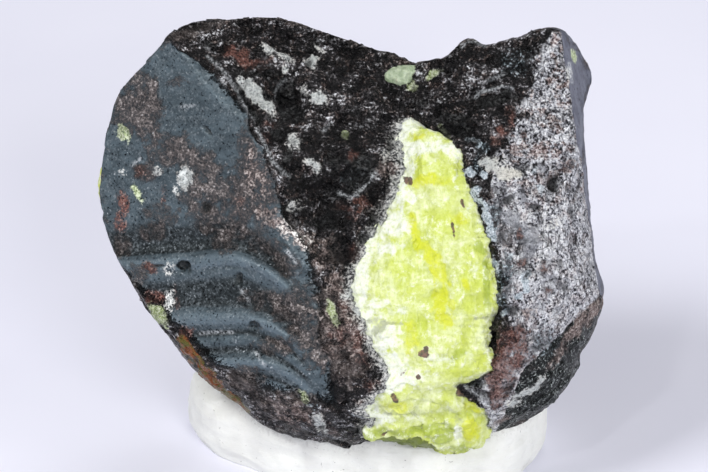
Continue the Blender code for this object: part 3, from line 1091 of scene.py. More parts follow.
    def most(self, *masks: Socket) -> Socket:
        """Where any of several masks shows: the largest of them."""
        return reduce(lambda first, second: self.sum("MAXIMUM", first, second), masks)

    def mix(self, factor: object, first: object, second: object) -> Socket:
        """A mix of two colours; factor is the second one's share."""
        return self.add("Mix", {0: factor, 6: first, 7: second}, data_type="RGBA").outputs[2]

    def blend(self, factor: object, first: object, second: object) -> Socket:
        """A mix of two numbers; factor is the second one's share."""
        return self.add("Mix", {0: factor, 2: first, 3: second}).outputs[0]

    def tints(self, value: object, low: float, high: float, first: Rgb, second: Rgb) -> Socket:
        """A soft change from one colour to another as value goes from low to high."""
        return self.mix(self.range(value, low, high), linear(first), linear(second))

    def tinged(
        self, colour: Socket, value: object, low: float, high: float, most: float, tint: Rgb
    ) -> Socket:
        """A colour tinged with another, by up to most, as value goes from low to high."""
        return self.mix(self.range(value, low, high, 0.0, most), colour, linear(tint))

    def ramp(self, value: Socket, stops: Ramp) -> Socket:
        """Colours picked by a value.

        Args:
            value: what picks them.
            stops: each colour after the value at which it stands.

        Returns:
            The colour.
        """
        node = self.add("ValToRGB", {0: value})
        elements = node.color_ramp.elements
        while len(elements) < len(stops):
            elements.new(0.5)
        for element, (place, rgb) in zip(elements, stops):
            element.position = place
            element.color = linear(rgb)
        return node.outputs[0]

    def bumped(self, *layers: tuple[Socket, float]) -> None:
        """Gives the surface fine relief.

        Args:
            *layers: each height, from 0 to 1, and how many mm it stands for.
        """
        normal = None
        for height, depth in layers:
            node = self.add("Bump", {"Strength": 1.0, "Distance": depth * MM, "Height": height})
            if normal:
                self.put(node.inputs["Normal"], normal)
            normal = node.outputs["Normal"]
        self.put(self.shader.inputs["Normal"], normal)

    def surface(self, **values: object) -> bpy.types.Material:
        """Sets the shader's inputs.

        Args:
            **values: inputs by name, with _ for a space.

        Returns:
            The finished material.
        """
        for name, value in values.items():
            self.put(self.shader.inputs[name.replace("_", " ")], value)
        return self.material


@dataclass(frozen=True)
class RockFinish:
    """Hematite: slick on its left face, black and broken in the middle, silvery and grainy on the right."""

    slick_light: Rgb = (82, 95, 102)
    slick_dark: Rgb = (62, 73, 79)
    # Painted shade for the slip ribs' grooves and painted highlight for their crests
    slick_groove_shade: Rgb = (30, 36, 38)
    slick_crest_highlight: Rgb = (112, 128, 138)
    facet: Rgb = (112, 115, 127)
    facet_shade: Rgb = (88, 91, 104)
    facet_pit: Rgb = (40, 40, 46)
    maroon: Rgb = (54, 35, 32)
    red: Rgb = (122, 78, 67)
    clay_dark: Rgb = (20, 14, 13)
    clay_pale: Rgb = (190, 162, 152)
    rust: Rgb = (150, 88, 48)
    olive: Rgb = (108, 104, 46)
    green: Rgb = (176, 192, 132)
    green_pale: Rgb = (218, 226, 194)
    # Painted reflections: the bright planes along the vein's right bank
    painted_glint: Rgb = (228, 238, 244)
    painted_glint_dim: Rgb = (158, 172, 180)
    chalk_cool: Rgb = (216, 222, 220)
    chalk_warm: Rgb = (238, 234, 221)
    speck_glint: Rgb = (200, 206, 210)
    glint_and_scratch: Rgb = (206, 210, 213)
    crack: Rgb = (22, 20, 21)
    # Painted shade for the hollows and pits
    hollow_shade: Rgb = (5, 5, 6)
    # Black rock, with painted glints at the ramp's bright end
    black_rock_and_glints: Ramp = (
        (0.42, (5, 5, 6)), (0.50, (24, 23, 24)), (0.54, (54, 51, 52)), (0.58, (110, 107, 109)),
        (0.64, (236, 238, 242)),
    )
    earth: Ramp = ((0.42, (14, 11, 11)), (0.50, (50, 39, 36)), (0.56, (92, 76, 71)), (0.62, (190, 178, 172)))
    crystals: Ramp = (
        (0.38, (24, 24, 26)), (0.43, (96, 96, 101)), (0.48, (162, 163, 169)), (0.53, (208, 210, 215)),
        (0.61, (252, 253, 255)),
    )
    warm: Ramp = (
        (0.40, (36, 28, 27)), (0.46, (112, 92, 88)), (0.52, (176, 156, 151)), (0.59, (234, 225, 221)),
    )
    granular: Ramp = (
        (0.42, (46, 51, 53)), (0.50, (76, 83, 86)), (0.56, (98, 106, 110)), (0.64, (140, 148, 152)),
    )
    # The skirt under the right block: greenish-black rock, darkened further as painted shade of the undercut
    skirt: Ramp = ((0.42, (8, 10, 10)), (0.50, (24, 30, 28)), (0.57, (62, 68, 66)), (0.63, (182, 188, 186)))
    pebbles: Ramp = (
        (0.40, (56, 48, 46)), (0.46, (82, 74, 71)), (0.52, (104, 95, 92)), (0.57, (128, 119, 115)),
        (0.64, (180, 172, 168)),
    )
    glassy: Ramp = ((0.42, (12, 17, 19)), (0.50, (34, 45, 49)), (0.57, (70, 84, 90)), (0.62, (190, 205, 212)))
    flat: Ramp = ((0.38, (108, 111, 118)), (0.60, (178, 180, 186)))
    tan: Ramp = (
        (0.40, (64, 53, 50)), (0.46, (106, 91, 86)), (0.52, (146, 129, 123)), (0.60, (208, 196, 190)),
    )
    chalk: Ramp = (
        (0.40, (98, 99, 98)), (0.46, (166, 168, 167)), (0.51, (205, 206, 203)), (0.60, (244, 243, 237)),
    )
    black_and_shadow: Ramp = ((0.46, (6, 7, 7)), (0.61, (74, 76, 76)))
    gravel_coat: Coat = Coat(0.85, 2.2, 0.5, 0.85)
    slate_coat: Coat = Coat(0.75, 2.0, 0.3, 0.9)
    slab_coat: Coat = Coat(0.8, 1.6, 0.3, 0.8)
    brick_coat: Coat = Coat(0.74, 2.2, 0.35, 0.9)
    rust_coat: Coat = Coat(1.0, 0.6, 0.25, 0.9)
    pink_coat: Coat = Coat(0.82, 2.2, 0.45, 0.9)
    white_coat: Coat = Coat(0.92, 2.0, 0.32)
    green_coat: Coat = Coat(0.82, 1.4, 0.3, 0.88)
    painted_glint_coat: Coat = Coat(0.86, 0.7, 0.25, 0.95)
    black_and_shadow_coat: Coat = Coat(0.8, 2.0, 0.35, 0.88)
    speck_size: float = 0.28
    crumb_size: float = 0.56
    crystal_size: float = 0.7
    lump_size: float = 1.7
    relief: tuple[float, ...] = (0.7, 0.52, 0.10, 0.03, 0.12)
    least_relief: tuple[float, ...] = (0.05, 0.10, 0.25, 0.3)

    def material(self) -> bpy.types.Material:
        """Lays bare rock by zones, then the painted coats, then gloss and relief.

        Returns:
            The finish as a material.
        """
        g = Graph("hematite")
        slick, grain, facet, skirt = g.paint(Paint.ZONES)
        gravel, white, pink, rust = g.paint(Paint.STAINS)
        green, painted_glint, painted_light, hollow = g.paint(Paint.MARKS)
        black_and_shadow, slab, brick, glint_and_scratch = g.paint(Paint.GROUND)
        slate = g.paint(Paint.SMEARS)[0]
        clusters = g.noise(2.6, 4.0, 0.65)
        broken = g.noise(self.lump_size, 6.0, 0.70)
        fine = g.noise(self.crumb_size, 4.0, 0.72)
        dust = g.noise(self.speck_size, 2.0, 0.6)
        powder = g.noise(0.2, 2.0, 0.6)
        soil = g.noise(1.2, 6.0, 0.8)
        grit = g.blend(0.5, fine, dust)
        speckled = g.blend(0.4, grit, soil)
        lumpy = g.blend(0.5, speckled, broken)
        lumps = g.blend(0.4, grit, broken)
        bent = g.stretched((1.0, 1.0, 0.55), (0, 32, 0), g.warped(1.3, 0.35))
        laths = g.cells(self.crystal_size, "DISTANCE_TO_EDGE", bent).outputs["Distance"]
        tiles = g.channel(g.cells(self.crystal_size, "F1", bent).outputs["Color"], 0)
        cracks = g.both(g.range(laths, 0.09, 0.02), g.range(broken, 0.42, 0.56))
        wisps = g.noise(0.85, 5.0, 0.7, g.stretched((0.45, 1.0, 1.8), (0, 18, 0)))
        streaks = g.noise(2.0, 5.0, 0.6, g.stretched((0.5, 1.0, 1.4)))
        scratched = g.noise(0.9, 4.0, 0.6, g.stretched((0.6, 1.0, 1.6), (0, 40, 0)))

        rock = g.ramp(g.nudged(g.blend(0.45, grit, wisps), clusters, 0.45), self.black_rock_and_glints)
        rock = g.mix(g.range(soil, 0.50, 0.62, 0.0, 0.8), rock, g.ramp(grit, self.earth))
        # Painted light also moves the silvery grain: lighter low on the block, darker near its top
        facing = g.nudged(g.nudged(g.nudged(grit, broken, 0.25), tiles, 0.12), painted_light, -0.13)
        warmed = g.both(g.range(g.noise(1.5, 4.0, 0.7), 0.49, 0.60), g.range(painted_light, 0.2, 0.6, 0.4, 0.9))
        crystals = g.mix(warmed, g.ramp(facing, self.crystals), g.ramp(grit, self.warm))
        crystals = g.mix(g.both(cracks, 0.65), crystals, linear(self.crack))
        plate = g.tints(streaks, 0.36, 0.64, self.slick_dark, self.slick_light)
        # Painted highlight on the rib crests and painted shade in the rib grooves
        plate = g.tinged(plate, painted_light, 0.42, 0.05, 0.45, self.slick_crest_highlight)
        plate = g.tinged(plate, painted_light, 0.53, 0.85, 1.0, self.slick_groove_shade)
        granular = g.range(g.nudged(fine, clusters, 0.6), 0.42, 0.62, 0.05, 0.42)
        plate = g.mix(granular, plate, g.ramp(grit, self.granular))
        side = g.tints(broken, 0.38, 0.62, self.facet, self.facet_shade)
        side = g.tinged(side, fine, 0.60, 0.64, 1.0, self.facet_pit)

        grain_mask = g.mask(grain, broken, 1.1)
        slick_mask = g.mask(slick, grit, 1.1, 0.3)
        facet_mask = g.mask(facet, fine, 0.12)
        colour = g.mix(grain_mask, rock, crystals)
        # Painted shade of the undercut, over its greenish-black rock
        colour = g.mix(g.mask(skirt, broken, 0.4), colour, g.ramp(grit, self.skirt))
        colour = g.mix(facet_mask, colour, side)
        colour = g.mix(slick_mask, colour, plate)

        pebbles = g.ramp(lumps, self.pebbles)
        gravel_mask, colour = g.coated(colour, gravel, lumpy, self.gravel_coat, pebbles)
        # Painted glints: tiny bright specks on the slick face and the gravel
        speck_glints = g.both(g.range(dust, 0.61, 0.68, 0.0, 0.7), g.range(soil, 0.54, 0.64))
        colour = g.mix(g.both(speck_glints, g.most(slick_mask, gravel_mask)), colour, linear(self.speck_glint))
        _, colour = g.coated(colour, slate, speckled, self.slate_coat, g.ramp(grit, self.glassy))
        _, colour = g.coated(colour, slab, speckled, self.slab_coat, g.ramp(scratched, self.flat))
        clay = g.tints(g.nudged(brick, broken, 0.8), 0.5, 1.3, self.maroon, self.red)
        clay = g.tinged(clay, grit, 0.49, 0.41, 0.8, self.clay_dark)
        clay = g.tinged(clay, grit, 0.54, 0.64, 0.5, self.clay_pale)
        brick_mask, colour = g.coated(colour, brick, lumpy, self.brick_coat, clay)
        stain = g.tints(broken, 0.44, 0.56, self.rust, self.olive)
        _, colour = g.coated(colour, rust, broken, self.rust_coat, stain)
        pink_mask, colour = g.coated(colour, pink, lumpy, self.pink_coat, g.ramp(lumps, self.tan))
        solid = g.mix(grain, linear(self.chalk_cool), linear(self.chalk_warm))
        chalk = g.mix(g.range(white, 0.75, 1.0, 0.0, 0.6), g.ramp(grit, self.chalk), solid)
        chalk = g.mix(g.range(white, 0.3, 0.95, 0.55, 0.95), colour, chalk)
        white_mask, colour = g.coated(colour, white, speckled, self.white_coat, chalk)
        leaf = g.tints(grit, 0.44, 0.58, self.green, self.green_pale)
        green_mask, colour = g.coated(colour, green, speckled, self.green_coat, leaf)
        # Painted reflections on the bright planes of the vein's right bank
        planes = g.tints(grit, 0.42, 0.55, self.painted_glint_dim, self.painted_glint)
        painted_glint_mask, colour = g.coated(colour, painted_glint, speckled, self.painted_glint_coat, planes)
        # Near-black coat: painted shadow in the cavities, and black rock
        black_and_shadow_mask, colour = g.coated(colour, black_and_shadow, speckled, self.black_and_shadow_coat, g.ramp(grit, self.black_and_shadow))
        # Painted shade in hollows and pits, held back under white crust
        shade = g.both(g.range(hollow, 0.44, 0.14), g.range(white, 0.4, 0.9, 0.75, 0.15))
        colour = g.mix(shade, colour, linear(self.hollow_shade))
        # Thin bright lines: painted highlights along broken edges, and a few pale scratches
        colour = g.mix(g.both(glint_and_scratch, g.range(dust, 0.38, 0.58, 0.1, 0.85)), colour, linear(self.glint_and_scratch))

        crusted = g.most(white_mask, pink_mask, green_mask, brick_mask)
        gloss = g.range(broken, 0.35, 0.65, 0.20, 0.38)
        gloss = g.blend(grain_mask, gloss, g.range(fine, 0.4, 0.6, 0.42, 0.24))
        gloss = g.blend(slick_mask, gloss, g.range(streaks, 0.35, 0.65, 0.40, 0.54))
        for mask, roughness in ((facet_mask, 0.5), (crusted, 0.7), (black_and_shadow_mask, 0.28), (painted_glint_mask, 0.24)):
            gloss = g.blend(mask, gloss, roughness)
        metal = g.blend(grain_mask, 0.1, g.range(fine, 0.45, 0.6, 0.1, 0.4))
        for mask, share in ((slick_mask, 0.3), (facet_mask, 0.2), (crusted, 0.0)):
            metal = g.blend(mask, metal, share)

        hard = g.most(g.sum("SUBTRACT", 1.0, g.most(slick_mask, facet_mask)), g.both(gravel_mask, 0.35))
        shares = [g.blend(hard, least, 1.0) for least in self.least_relief] + [g.both(grain_mask, hard)]
        layers = zip((broken, fine, dust, powder, laths), shares, self.relief)
        g.bumped(*((g.both(height, share), depth) for height, share, depth in layers))
        return g.surface(Base_Color=colour, Roughness=gloss, Metallic=metal, IOR=1.5, Specular_IOR_Level=0.25)


@dataclass(frozen=True)
class LizarditeFinish:
    """Lizardite: waxy yellow-green, frosted white on its rims, with a few brown specks."""

    pale: Rgb = (212, 220, 154)
    fresh: Rgb = (196, 208, 90)
    deep: Rgb = (204, 210, 32)
    moss: Rgb = (148, 166, 42)
    # Painted shade for the vein's underside
    olive: Rgb = (84, 98, 18)
    frost: Rgb = (234, 238, 226)
    sugar: Rgb = (240, 244, 224)
    fibre: Rgb = (230, 237, 190)
    pit: Rgb = (186, 201, 74)
    grime: Rgb = (176, 190, 74)
    # Painted shade for the hollows of the vein's relief
    fold: Rgb = (176, 190, 56)
    crevice_shade: Rgb = (150, 156, 116)
    jade: Rgb = (138, 154, 124)
    jade_pale: Rgb = (182, 194, 166)
    speck: Rgb = (112, 72, 60)
    speck_dark: Rgb = (58, 44, 40)
    deep_coat: Coat = Coat(1.0, 0.9, 0.5, 0.92)
    frost_coat: Coat = Coat(0.85, 1.1, 0.45, 0.92)
    underside_shade_coat: Coat = Coat(0.9, 0.5, 0.3, 0.9)
    crevice_shade_coat: Coat = Coat(0.9, 1.2, 0.4, 0.7)
    speck_coat: Coat = Coat(0.9, 1.2, 0.15, 0.92)
    depth_of_glow: float = 0.4

    def material(self) -> bpy.types.Material:
        """Lays the colours, then gloss and relief.

        Returns:
            The finish as a material.
        """
        g = Graph("lizardite")
        deep, white, speck, under = g.paint(Paint.VEIN)
        jade, hollow, moss, crevice_shade = g.paint(Paint.SMEARS)
        clouds = g.noise(3.4, 4.0, 0.55)
        fibres = g.noise(1.8, 4.0, 0.62, g.stretched((1.6, 1.0, 0.6), (0, -14, 0)))
        crumbs = g.noise(1.0, 5.0, 0.70)
        grit = g.noise(0.42, 3.0, 0.6)
        colour = g.tints(clouds, 0.36, 0.62, self.pale, self.fresh)
        colour = g.tinged(colour, crumbs, 0.48, 0.36, 0.5, self.pit)
        colour = g.tinged(colour, fibres, 0.50, 0.66, 0.6, self.fibre)
        colour = g.tinged(colour, moss, 0.1, 0.9, 0.75, self.moss)
        deep_mask, colour = g.coated(colour, deep, fibres, self.deep_coat, linear(self.deep))
        white_mask, colour = g.coated(colour, white, crumbs, self.frost_coat, linear(self.frost))
        sugar = g.both(g.range(crumbs, 0.50, 0.66), g.range(grit, 0.42, 0.58, 0.2, 0.75))
        sugar = g.both(sugar, g.range(deep_mask, 0.0, 1.0, 1.0, 0.3))
        colour = g.mix(sugar, colour, linear(self.sugar))
        colour = g.tinged(colour, grit, 0.46, 0.36, 0.32, self.grime)
        # Painted shade on the vein's underside along its foot
        _, colour = g.coated(colour, under, crumbs, self.underside_shade_coat, linear(self.olive))
        grey = g.tints(crumbs, 0.4, 0.62, self.jade, self.jade_pale)
        colour = g.mix(g.range(jade, 0.3, 0.8), colour, grey)
        # Painted shade in the hollows of the vein's relief
        colour = g.tinged(colour, hollow, 0.36, 0.05, 0.45, self.fold)
        # Painted shade in the vein's crevices, which are also sunk a little
        _, colour = g.coated(colour, crevice_shade, crumbs, self.crevice_shade_coat, linear(self.crevice_shade))
        brown = g.tints(grit, 0.4, 0.6, self.speck_dark, self.speck)
        _, colour = g.coated(colour, speck, crumbs, self.speck_coat, brown)
        gloss = g.blend(white_mask, g.range(fibres, 0.3, 0.7, 0.36, 0.52), 0.75)
        g.bumped((crumbs, 0.28), (fibres, 0.32), (grit, 0.09))
        return g.surface(
            Base_Color=colour, Roughness=gloss, IOR=1.5, Subsurface_Weight=0.1,
            Subsurface_Radius=(1.0, 1.0, 0.5), Subsurface_Scale=self.depth_of_glow * MM,
        )


@dataclass(frozen=True)
class PuttyFinish:
    """White modelling putty: matt, pressed and creased, a little greyer where it meets the stone."""

    white: Rgb = (237, 238, 233)
    shade: Rgb = (230, 231, 226)
    crease: Rgb = (206, 204, 198)
    smear: Rgb = (214, 213, 208)
    dust: Rgb = (178, 176, 170)
    speck: Rgb = (150, 148, 144)
    contact_grey_coat: Coat = Coat(1.0, 1.2, 0.3, 0.4)

    def material(self) -> bpy.types.Material:
        """Lays the colours, then gloss and relief.

        Returns:
            The finish as a material.
        """
        g = Graph("putty")
        contact, crease, _, _ = g.paint(Paint.SMEARS)
        clouds = g.noise(3.5, 5.0, 0.6)
        smears = g.noise(1.0, 5.0, 0.65, g.stretched((0.5, 0.5, 1.8)))
        fine = g.noise(0.22, 4.0, 0.65)
        colour = g.tints(clouds, 0.38, 0.62, self.white, self.shade)
        colour = g.mix(g.both(crease, 0.15), colour, linear(self.crease))
        colour = g.tinged(colour, smears, 0.42, 0.30, 0.25, self.smear)
        # Greyer where the putty meets the stone
        _, colour = g.coated(colour, contact, g.noise(0.5, 5.0, 0.75), self.contact_grey_coat, linear(self.dust))
        colour = g.tinged(colour, g.noise(0.4, 3.0), 0.70, 0.73, 0.7, self.speck)
        g.bumped((smears, 0.10), (clouds, 0.22), (fine, 0.04))
        return g.surface(
            Base_Color=colour, Roughness=g.range(clouds, 0.3, 0.7, 0.72, 0.88), IOR=1.45,
            Subsurface_Weight=0.12, Subsurface_Radius=(1.0, 0.95, 0.9), Subsurface_Scale=0.8 * MM,
        )


# The pieces


@dataclass
class HostRock:
    """The dark host rock."""

    form: StoneForm
    finish: RockFinish
    front_edge: float = 0.46
    detail_edge: float = 0.34
    smooth_edge: float = 0.62
    back_edge: float = 1.1
    smooth_side: float = 25.0
    smooth_edges: Line = ((-8.4, -0.21), (-2.0, -0.875))
    sunk: float = 0.55
    crusted: float = 0.08
    wander: float = 1.2
    slick_spill: tuple[float, float] = (1.6, 1.3)
    grain_fade: float = 2.4
    grooves_end: float = 4.0
    dusted: tuple[float, float] = (0.85, 2.3)
    slick_foot: Line = (
        (-30.0, -2.4), (-26.0, -5.5), (-22.5, -8.8), (-19.5, -11.8), (-16.0, -14.8), (-10.7, -17.8),
        (-5.0, -19.2), (-1.7, -19.8),
    )
    grain_edge: Line = (
        (-26.0, 14.0), (-18.0, 15.0), (-12.0, 19.0), (-6.0, 17.5), (2.0, 16.0), (9.0, 17.0), (14.0, 20.0),
        (22.0, 22.0), (24.5, 25.0),
    )
    crust: tuple[Patch, ...] = patches(
        (-3.8, -22.2, 1.3, 0.6, -58, 1.2), (-11.0, 16.4, 2.5, 0.8, -54, 1.4),
        (-12.2, 17.6, 1.0, 0.8, -20, 1.1), (-11.6, 16.5, 0.9, 0.5, -45, 0.8), (-13.2, 18.4, 0.5, 0.6, 0, 0.9),
        (-10.0, 22.1, 0.9, 0.6, -30, 0.9), (-8.0, 21.1, 1.2, 0.5, -32, 0.9), (-4.8, 20.6, 0.8, 0.8, 0, 1.0),
        (-3.9, 22.1, 0.9, 0.3, -38, 0.7), (-5.7, 17.0, 0.6, 0.7, -30, 0.8), (-3.9, 16.2, 1.1, 0.9, -15, 1.1),
        (-6.9, 11.1, 0.9, 1.1, 25, 0.9), (-5.1, 8.7, 0.7, 0.4, 0, 1.1), (-4.2, 7.9, 0.5, 0.8, 0, 0.9),
        (-7.9, 19.6, 0.4, 0.4, 0, 1.2), (-19.7, 6.8, 0.8, 1.3, -10, 1.3), (-23.1, 7.7, 0.6, 0.7, 0, 0.9),
        (-27.3, 7.6, 0.4, 0.4, 0, 1), (-20.8, 5.3, 0.4, 0.6, 15, 1), (-21.6, -7.9, 0.6, 1.5, -8, 0.85),
        (-21.7, -3.9, 0.8, 0.8, 0, 0.65), (-6.9, 3.3, 0.9, 0.8, 0, 0.8), (-7.7, 0.8, 1.4, 1.1, -40, 0.45),
        (-5.7, -0.6, 1.4, 0.8, -35, 0.5), (0.2, -6.5, 0.9, 0.7, 0, 1.1), (-0.6, -7.2, 1.1, 0.5, 0, 0.8),
        (0.7, -8.8, 0.6, 0.6, 0, 1.1), (1.4, -10.3, 0.5, 1.1, 15, 0.8), (1.9, -12.2, 0.5, 1.1, -15, 0.7),
        (2.8, -13.9, 0.6, 0.8, -35, 0.7), (4.2, 9.5, 0.9, 1.1, 0, 0.6), (5.7, 12.8, 0.8, 0.6, 0, 0.9),
        (16.1, 8.5, 0.9, 0.8, 0, 1.3), (17.8, 7.2, 1.2, 0.7, -15, 1.3), (19.3, 7.2, 0.8, 0.6, 0, 1.1),
        (17.6, 7.9, 2.0, 1.2, -25, 0.5), (23.5, 1.2, 1.1, 0.6, 40, 0.6), (20.5, -18.6, 1.7, 0.4, 18, 1.3),
        (22.2, -17.2, 1.1, 0.4, 50, 1.2), (18.9, -19.8, 1.1, 0.5, 5, 1), (25.5, 19.0, 0.4, 1.2, -10, 0.8),
        (1.2, -21.1, 1.2, 0.5, -20, 0.6),
    )
    flecks: tuple[Patch, ...] = patches(
        (-5.6, -19.1, 1.0, 0.5, -50, 0.8), (-27.3, 12.2, 1.2, 0.7, -50, 0.9),
        (-25.4, 4.9, 1.1, 0.5, -60, 0.8), (26.2, 21.2, 0.9, 0.3, -78, 0.9), (-0.8, 12.0, 0.4, 0.4, 0, 1.1),
        (-2.3, -9.1, 1.5, 0.5, -70, 1.2), (-22.9, -9.4, 1.5, 0.8, -50, 1.2), (9.5, 19.0, 0.9, 0.5, 30, 0.9),
        (7.1, 17.7, 0.7, 0.6, 0, 0.9), (10.8, 12.1, 1.2, 0.5, -70, 0.6),
    )
    gravel: tuple[Patch, ...] = patches(
        (-26.7, 14.8, 1.9, 2.6, 15, 0.9), (-24.9, 17.8, 1.4, 1.7, 35, 0.85), (-24.3, 14.2, 1.7, 2.6, 0, 0.85),
        (-23.4, 15.4, 0.7, 3.1, 0, 0.8), (-21.9, 10.1, 1.9, 1.7, 0, 0.8), (-20.2, 10.1, 1.4, 1.9, 0, 0.8),
        (-24.3, 7.5, 1.5, 1.1, 0, 0.75), (-17.8, 8.3, 1.7, 1.9, 0, 0.85), (-19.0, 5.3, 1.4, 1.9, 0, 0.75),
        (-16.0, 5.3, 1.7, 2.4, 0, 0.7), (-12.5, 10.1, 0.9, 3.3, 0, 0.6), (-11.3, 5.3, 2.6, 4.0, 0, 0.75),
        (-13.5, 3.6, 1.7, 3.3, 0, 0.7), (-22.5, 2.4, 1.9, 1.2, 0, 0.65), (-23.7, 0.4, 1.7, 0.9, 0, 0.65),
        (-17.2, 2.4, 1.7, 1.7, 0, 0.75), (-15.2, -0.6, 1.4, 1.7, 0, 0.6), (-10.1, -1.2, 2.4, 1.2, -20, 0.6),
        (-7.7, -3.6, 1.7, 1.4, -40, 0.5), (-8.5, -13.0, 2.6, 1.1, 0, 0.75), (-12.7, -17.0, 2.1, 1.5, 0, 0.85),
        (-10.4, -7.7, 2.6, 1.2, 0, 0.5), (-7.7, -8.9, 1.7, 1.7, 0, 0.6), (-5.9, -11.3, 1.4, 2.4, 0, 0.6),
        (-19.0, 24.0, 3.1, 0.7, 18, 0.8), (-27.5, -1.2, 1.2, 1.1, -60, 0.6),
        (-25.5, -4.7, 1.2, 1.4, -60, 0.6), (-5.9, -19.6, 2.4, 1.1, -20, 0.7),
        (-9.5, -20.2, 2.6, 1.4, -30, 0.75), (-1.4, -10.7, 3.1, 4.7, 0, 1.2), (-0.6, -15.4, 2.1, 2.1, 0, 0.75),
        (-5.9, -7.7, 1.7, 2.4, 0, 0.5), (-4.2, -13.0, 1.7, 2.4, 0, 0.6), (4.7, 4.2, 1.2, 3.1, -30, 0.6),
        (-20.6, 18.1, 0.5, 1.1, -80, 0.6), (-2.4, -2.4, 1.7, 1.7, 0, 0.6),
    )
    brick: tuple[Patch, ...] = patches(
        (-13.0, 21.2, 1.2, 0.9, -20, 1), (-14.5, 21.7, 0.9, 0.9, 0, 0.9), (-12.2, 20.2, 1.1, 0.6, -10, 0.8),
        (-10.2, 20.5, 1.1, 0.7, 0, 0.75), (-27.2, 3.6, 0.7, 1.8, 5, 1.2), (-27.5, 1.5, 0.8, 1.1, 0, 1.1),
        (-24.9, 7.5, 1.1, 0.9, -20, 0.6), (-22.3, 4.7, 0.5, 1.4, 0, 0.55), (-24.0, -3.9, 1.1, 0.6, -35, 0.9),
        (-23.5, -7.4, 1.4, 0.9, -15, 1), (-20.9, -7.9, 0.5, 1.7, 0, 0.7), (-19.8, -11.9, 1.1, 1.1, -40, 1.1),
        (0.2, 9.5, 0.8, 0.8, 20, 1), (1.2, 3.8, 1.2, 0.9, 0, 1.1), (-0.2, 2.5, 1.1, 0.9, 0, 0.9),
        (-1.2, 3.6, 1.2, 0.6, -10, 0.7), (-9.7, 13.0, 1.1, 0.5, -5, 0.8), (-10.1, 11.3, 0.6, 1.1, -50, 0.7),
        (-0.8, -8.1, 0.9, 0.7, -20, 0.8), (0.2, -1.8, 1.9, 1.1, 20, 0.7), (0.7, -3.2, 0.9, 0.8, -60, 0.6),
        (-0.6, -10.7, 1.9, 2.1, 0, 0.75), (-2.1, -13.0, 1.4, 1.7, 0, 0.6), (0.9, -12.5, 0.9, 1.9, -25, 0.8),
        (1.8, -14.6, 1.4, 1.1, 0, 0.6), (2.6, -17.8, 1.2, 1.1, 0, 0.8), (-13.3, 3.8, 0.8, 1.2, 0, 0.55),
        (17.2, 11.5, 0.9, 1.2, -30, 0.8), (18.7, 14.1, 0.7, 1.1, 0, 0.8), (18.1, 12.7, 1.1, 0.7, 30, 0.6),
        (20.2, 11.7, 0.5, 0.6, 0, 0.9), (24.9, 8.3, 0.9, 1.2, -30, 0.7), (18.8, -12.4, 2.6, 2.2, 20, 0.75),
        (17.4, -16.4, 1.9, 3.0, 0, 0.75), (19.6, -12.5, 1.2, 1.4, -45, 0.7), (17.8, -16.6, 1.7, 2.4, 0, 0.85),
        (19.0, -15.1, 2.8, 1.4, 10, 0.65), (17.2, -19.6, 1.2, 0.9, 0, 0.9), (18.3, -0.6, 1.1, 0.8, 0, 0.6),
        (19.7, 0.1, 0.5, 0.7, 0, 0.9), (19.9, -3.3, 0.6, 0.6, 0, 0.9), (23.2, -6.5, 0.5, 0.5, 0, 0.9),
        (22.3, -3.9, 0.6, 1.1, -45, 0.7), (20.8, -9.3, 0.8, 0.8, 0, 0.55), (-5.9, -21.6, 1.3, 0.6, -35, 0.7),
    )
    bloom: tuple[Patch, ...] = patches(
        (-11.2, 6.6, 1.3, 3.6, 10, 0.55), (-9.6, 2.2, 1.4, 1.4, -40, 0.55), (-1.2, -11.0, 2.4, 3.6, 0, 0.5),
        (-7.5, -20.2, 3.4, 1.4, -25, 0.45), (29.1, -8.3, 1.4, 0.7, 45, 1.2), (27.6, -9.8, 1.4, 0.8, 45, 1.2),
        (26.2, -11.7, 1.4, 0.7, 48, 1.1), (24.7, -13.8, 1.2, 0.6, 50, 1), (23.5, -15.4, 0.9, 0.5, 55, 0.8),
        (17.7, -21.8, 1.1, 0.4, 35, 0.8), (-7.7, 0.8, 1.4, 1.1, -40, 0.7), (-5.7, -0.7, 1.4, 0.9, -35, 0.8),
        (-3.6, -1.4, 1.2, 0.9, -20, 0.7), (-3.3, -3.4, 1.7, 1.3, -40, 0.55), (-1.8, -5.9, 1.1, 1.7, 15, 0.6),
        (4.2, 7.9, 1.3, 1.4, 0, 0.6), (-7.7, -22.1, 1.7, 0.5, -35, 0.8), (-6.2, -21.0, 1.1, 0.5, -45, 0.8),
        (-2.6, -23.2, 1.2, 0.4, -35, 0.7), (1.7, -19.8, 1.1, 0.5, -10, 0.7), (1.2, -2.7, 0.7, 1.2, 30, 0.6),
        (20.9, -9.1, 0.8, 0.7, 0, 0.6),
    )
    rust: tuple[Patch, ...] = patches(
        (-19.9, -13.0, 0.7, 1.4, 35, 1.1), (-18.6, -14.9, 0.8, 1.4, 35, 1.1),
        (-17.1, -16.7, 0.8, 1.7, 35, 1.1), (-15.7, -18.5, 1.4, 0.8, -45, 1.1),
        (-14.4, -19.6, 1.1, 0.7, -45, 1), (-12.9, -20.6, 0.9, 0.5, -40, 0.8),
    )
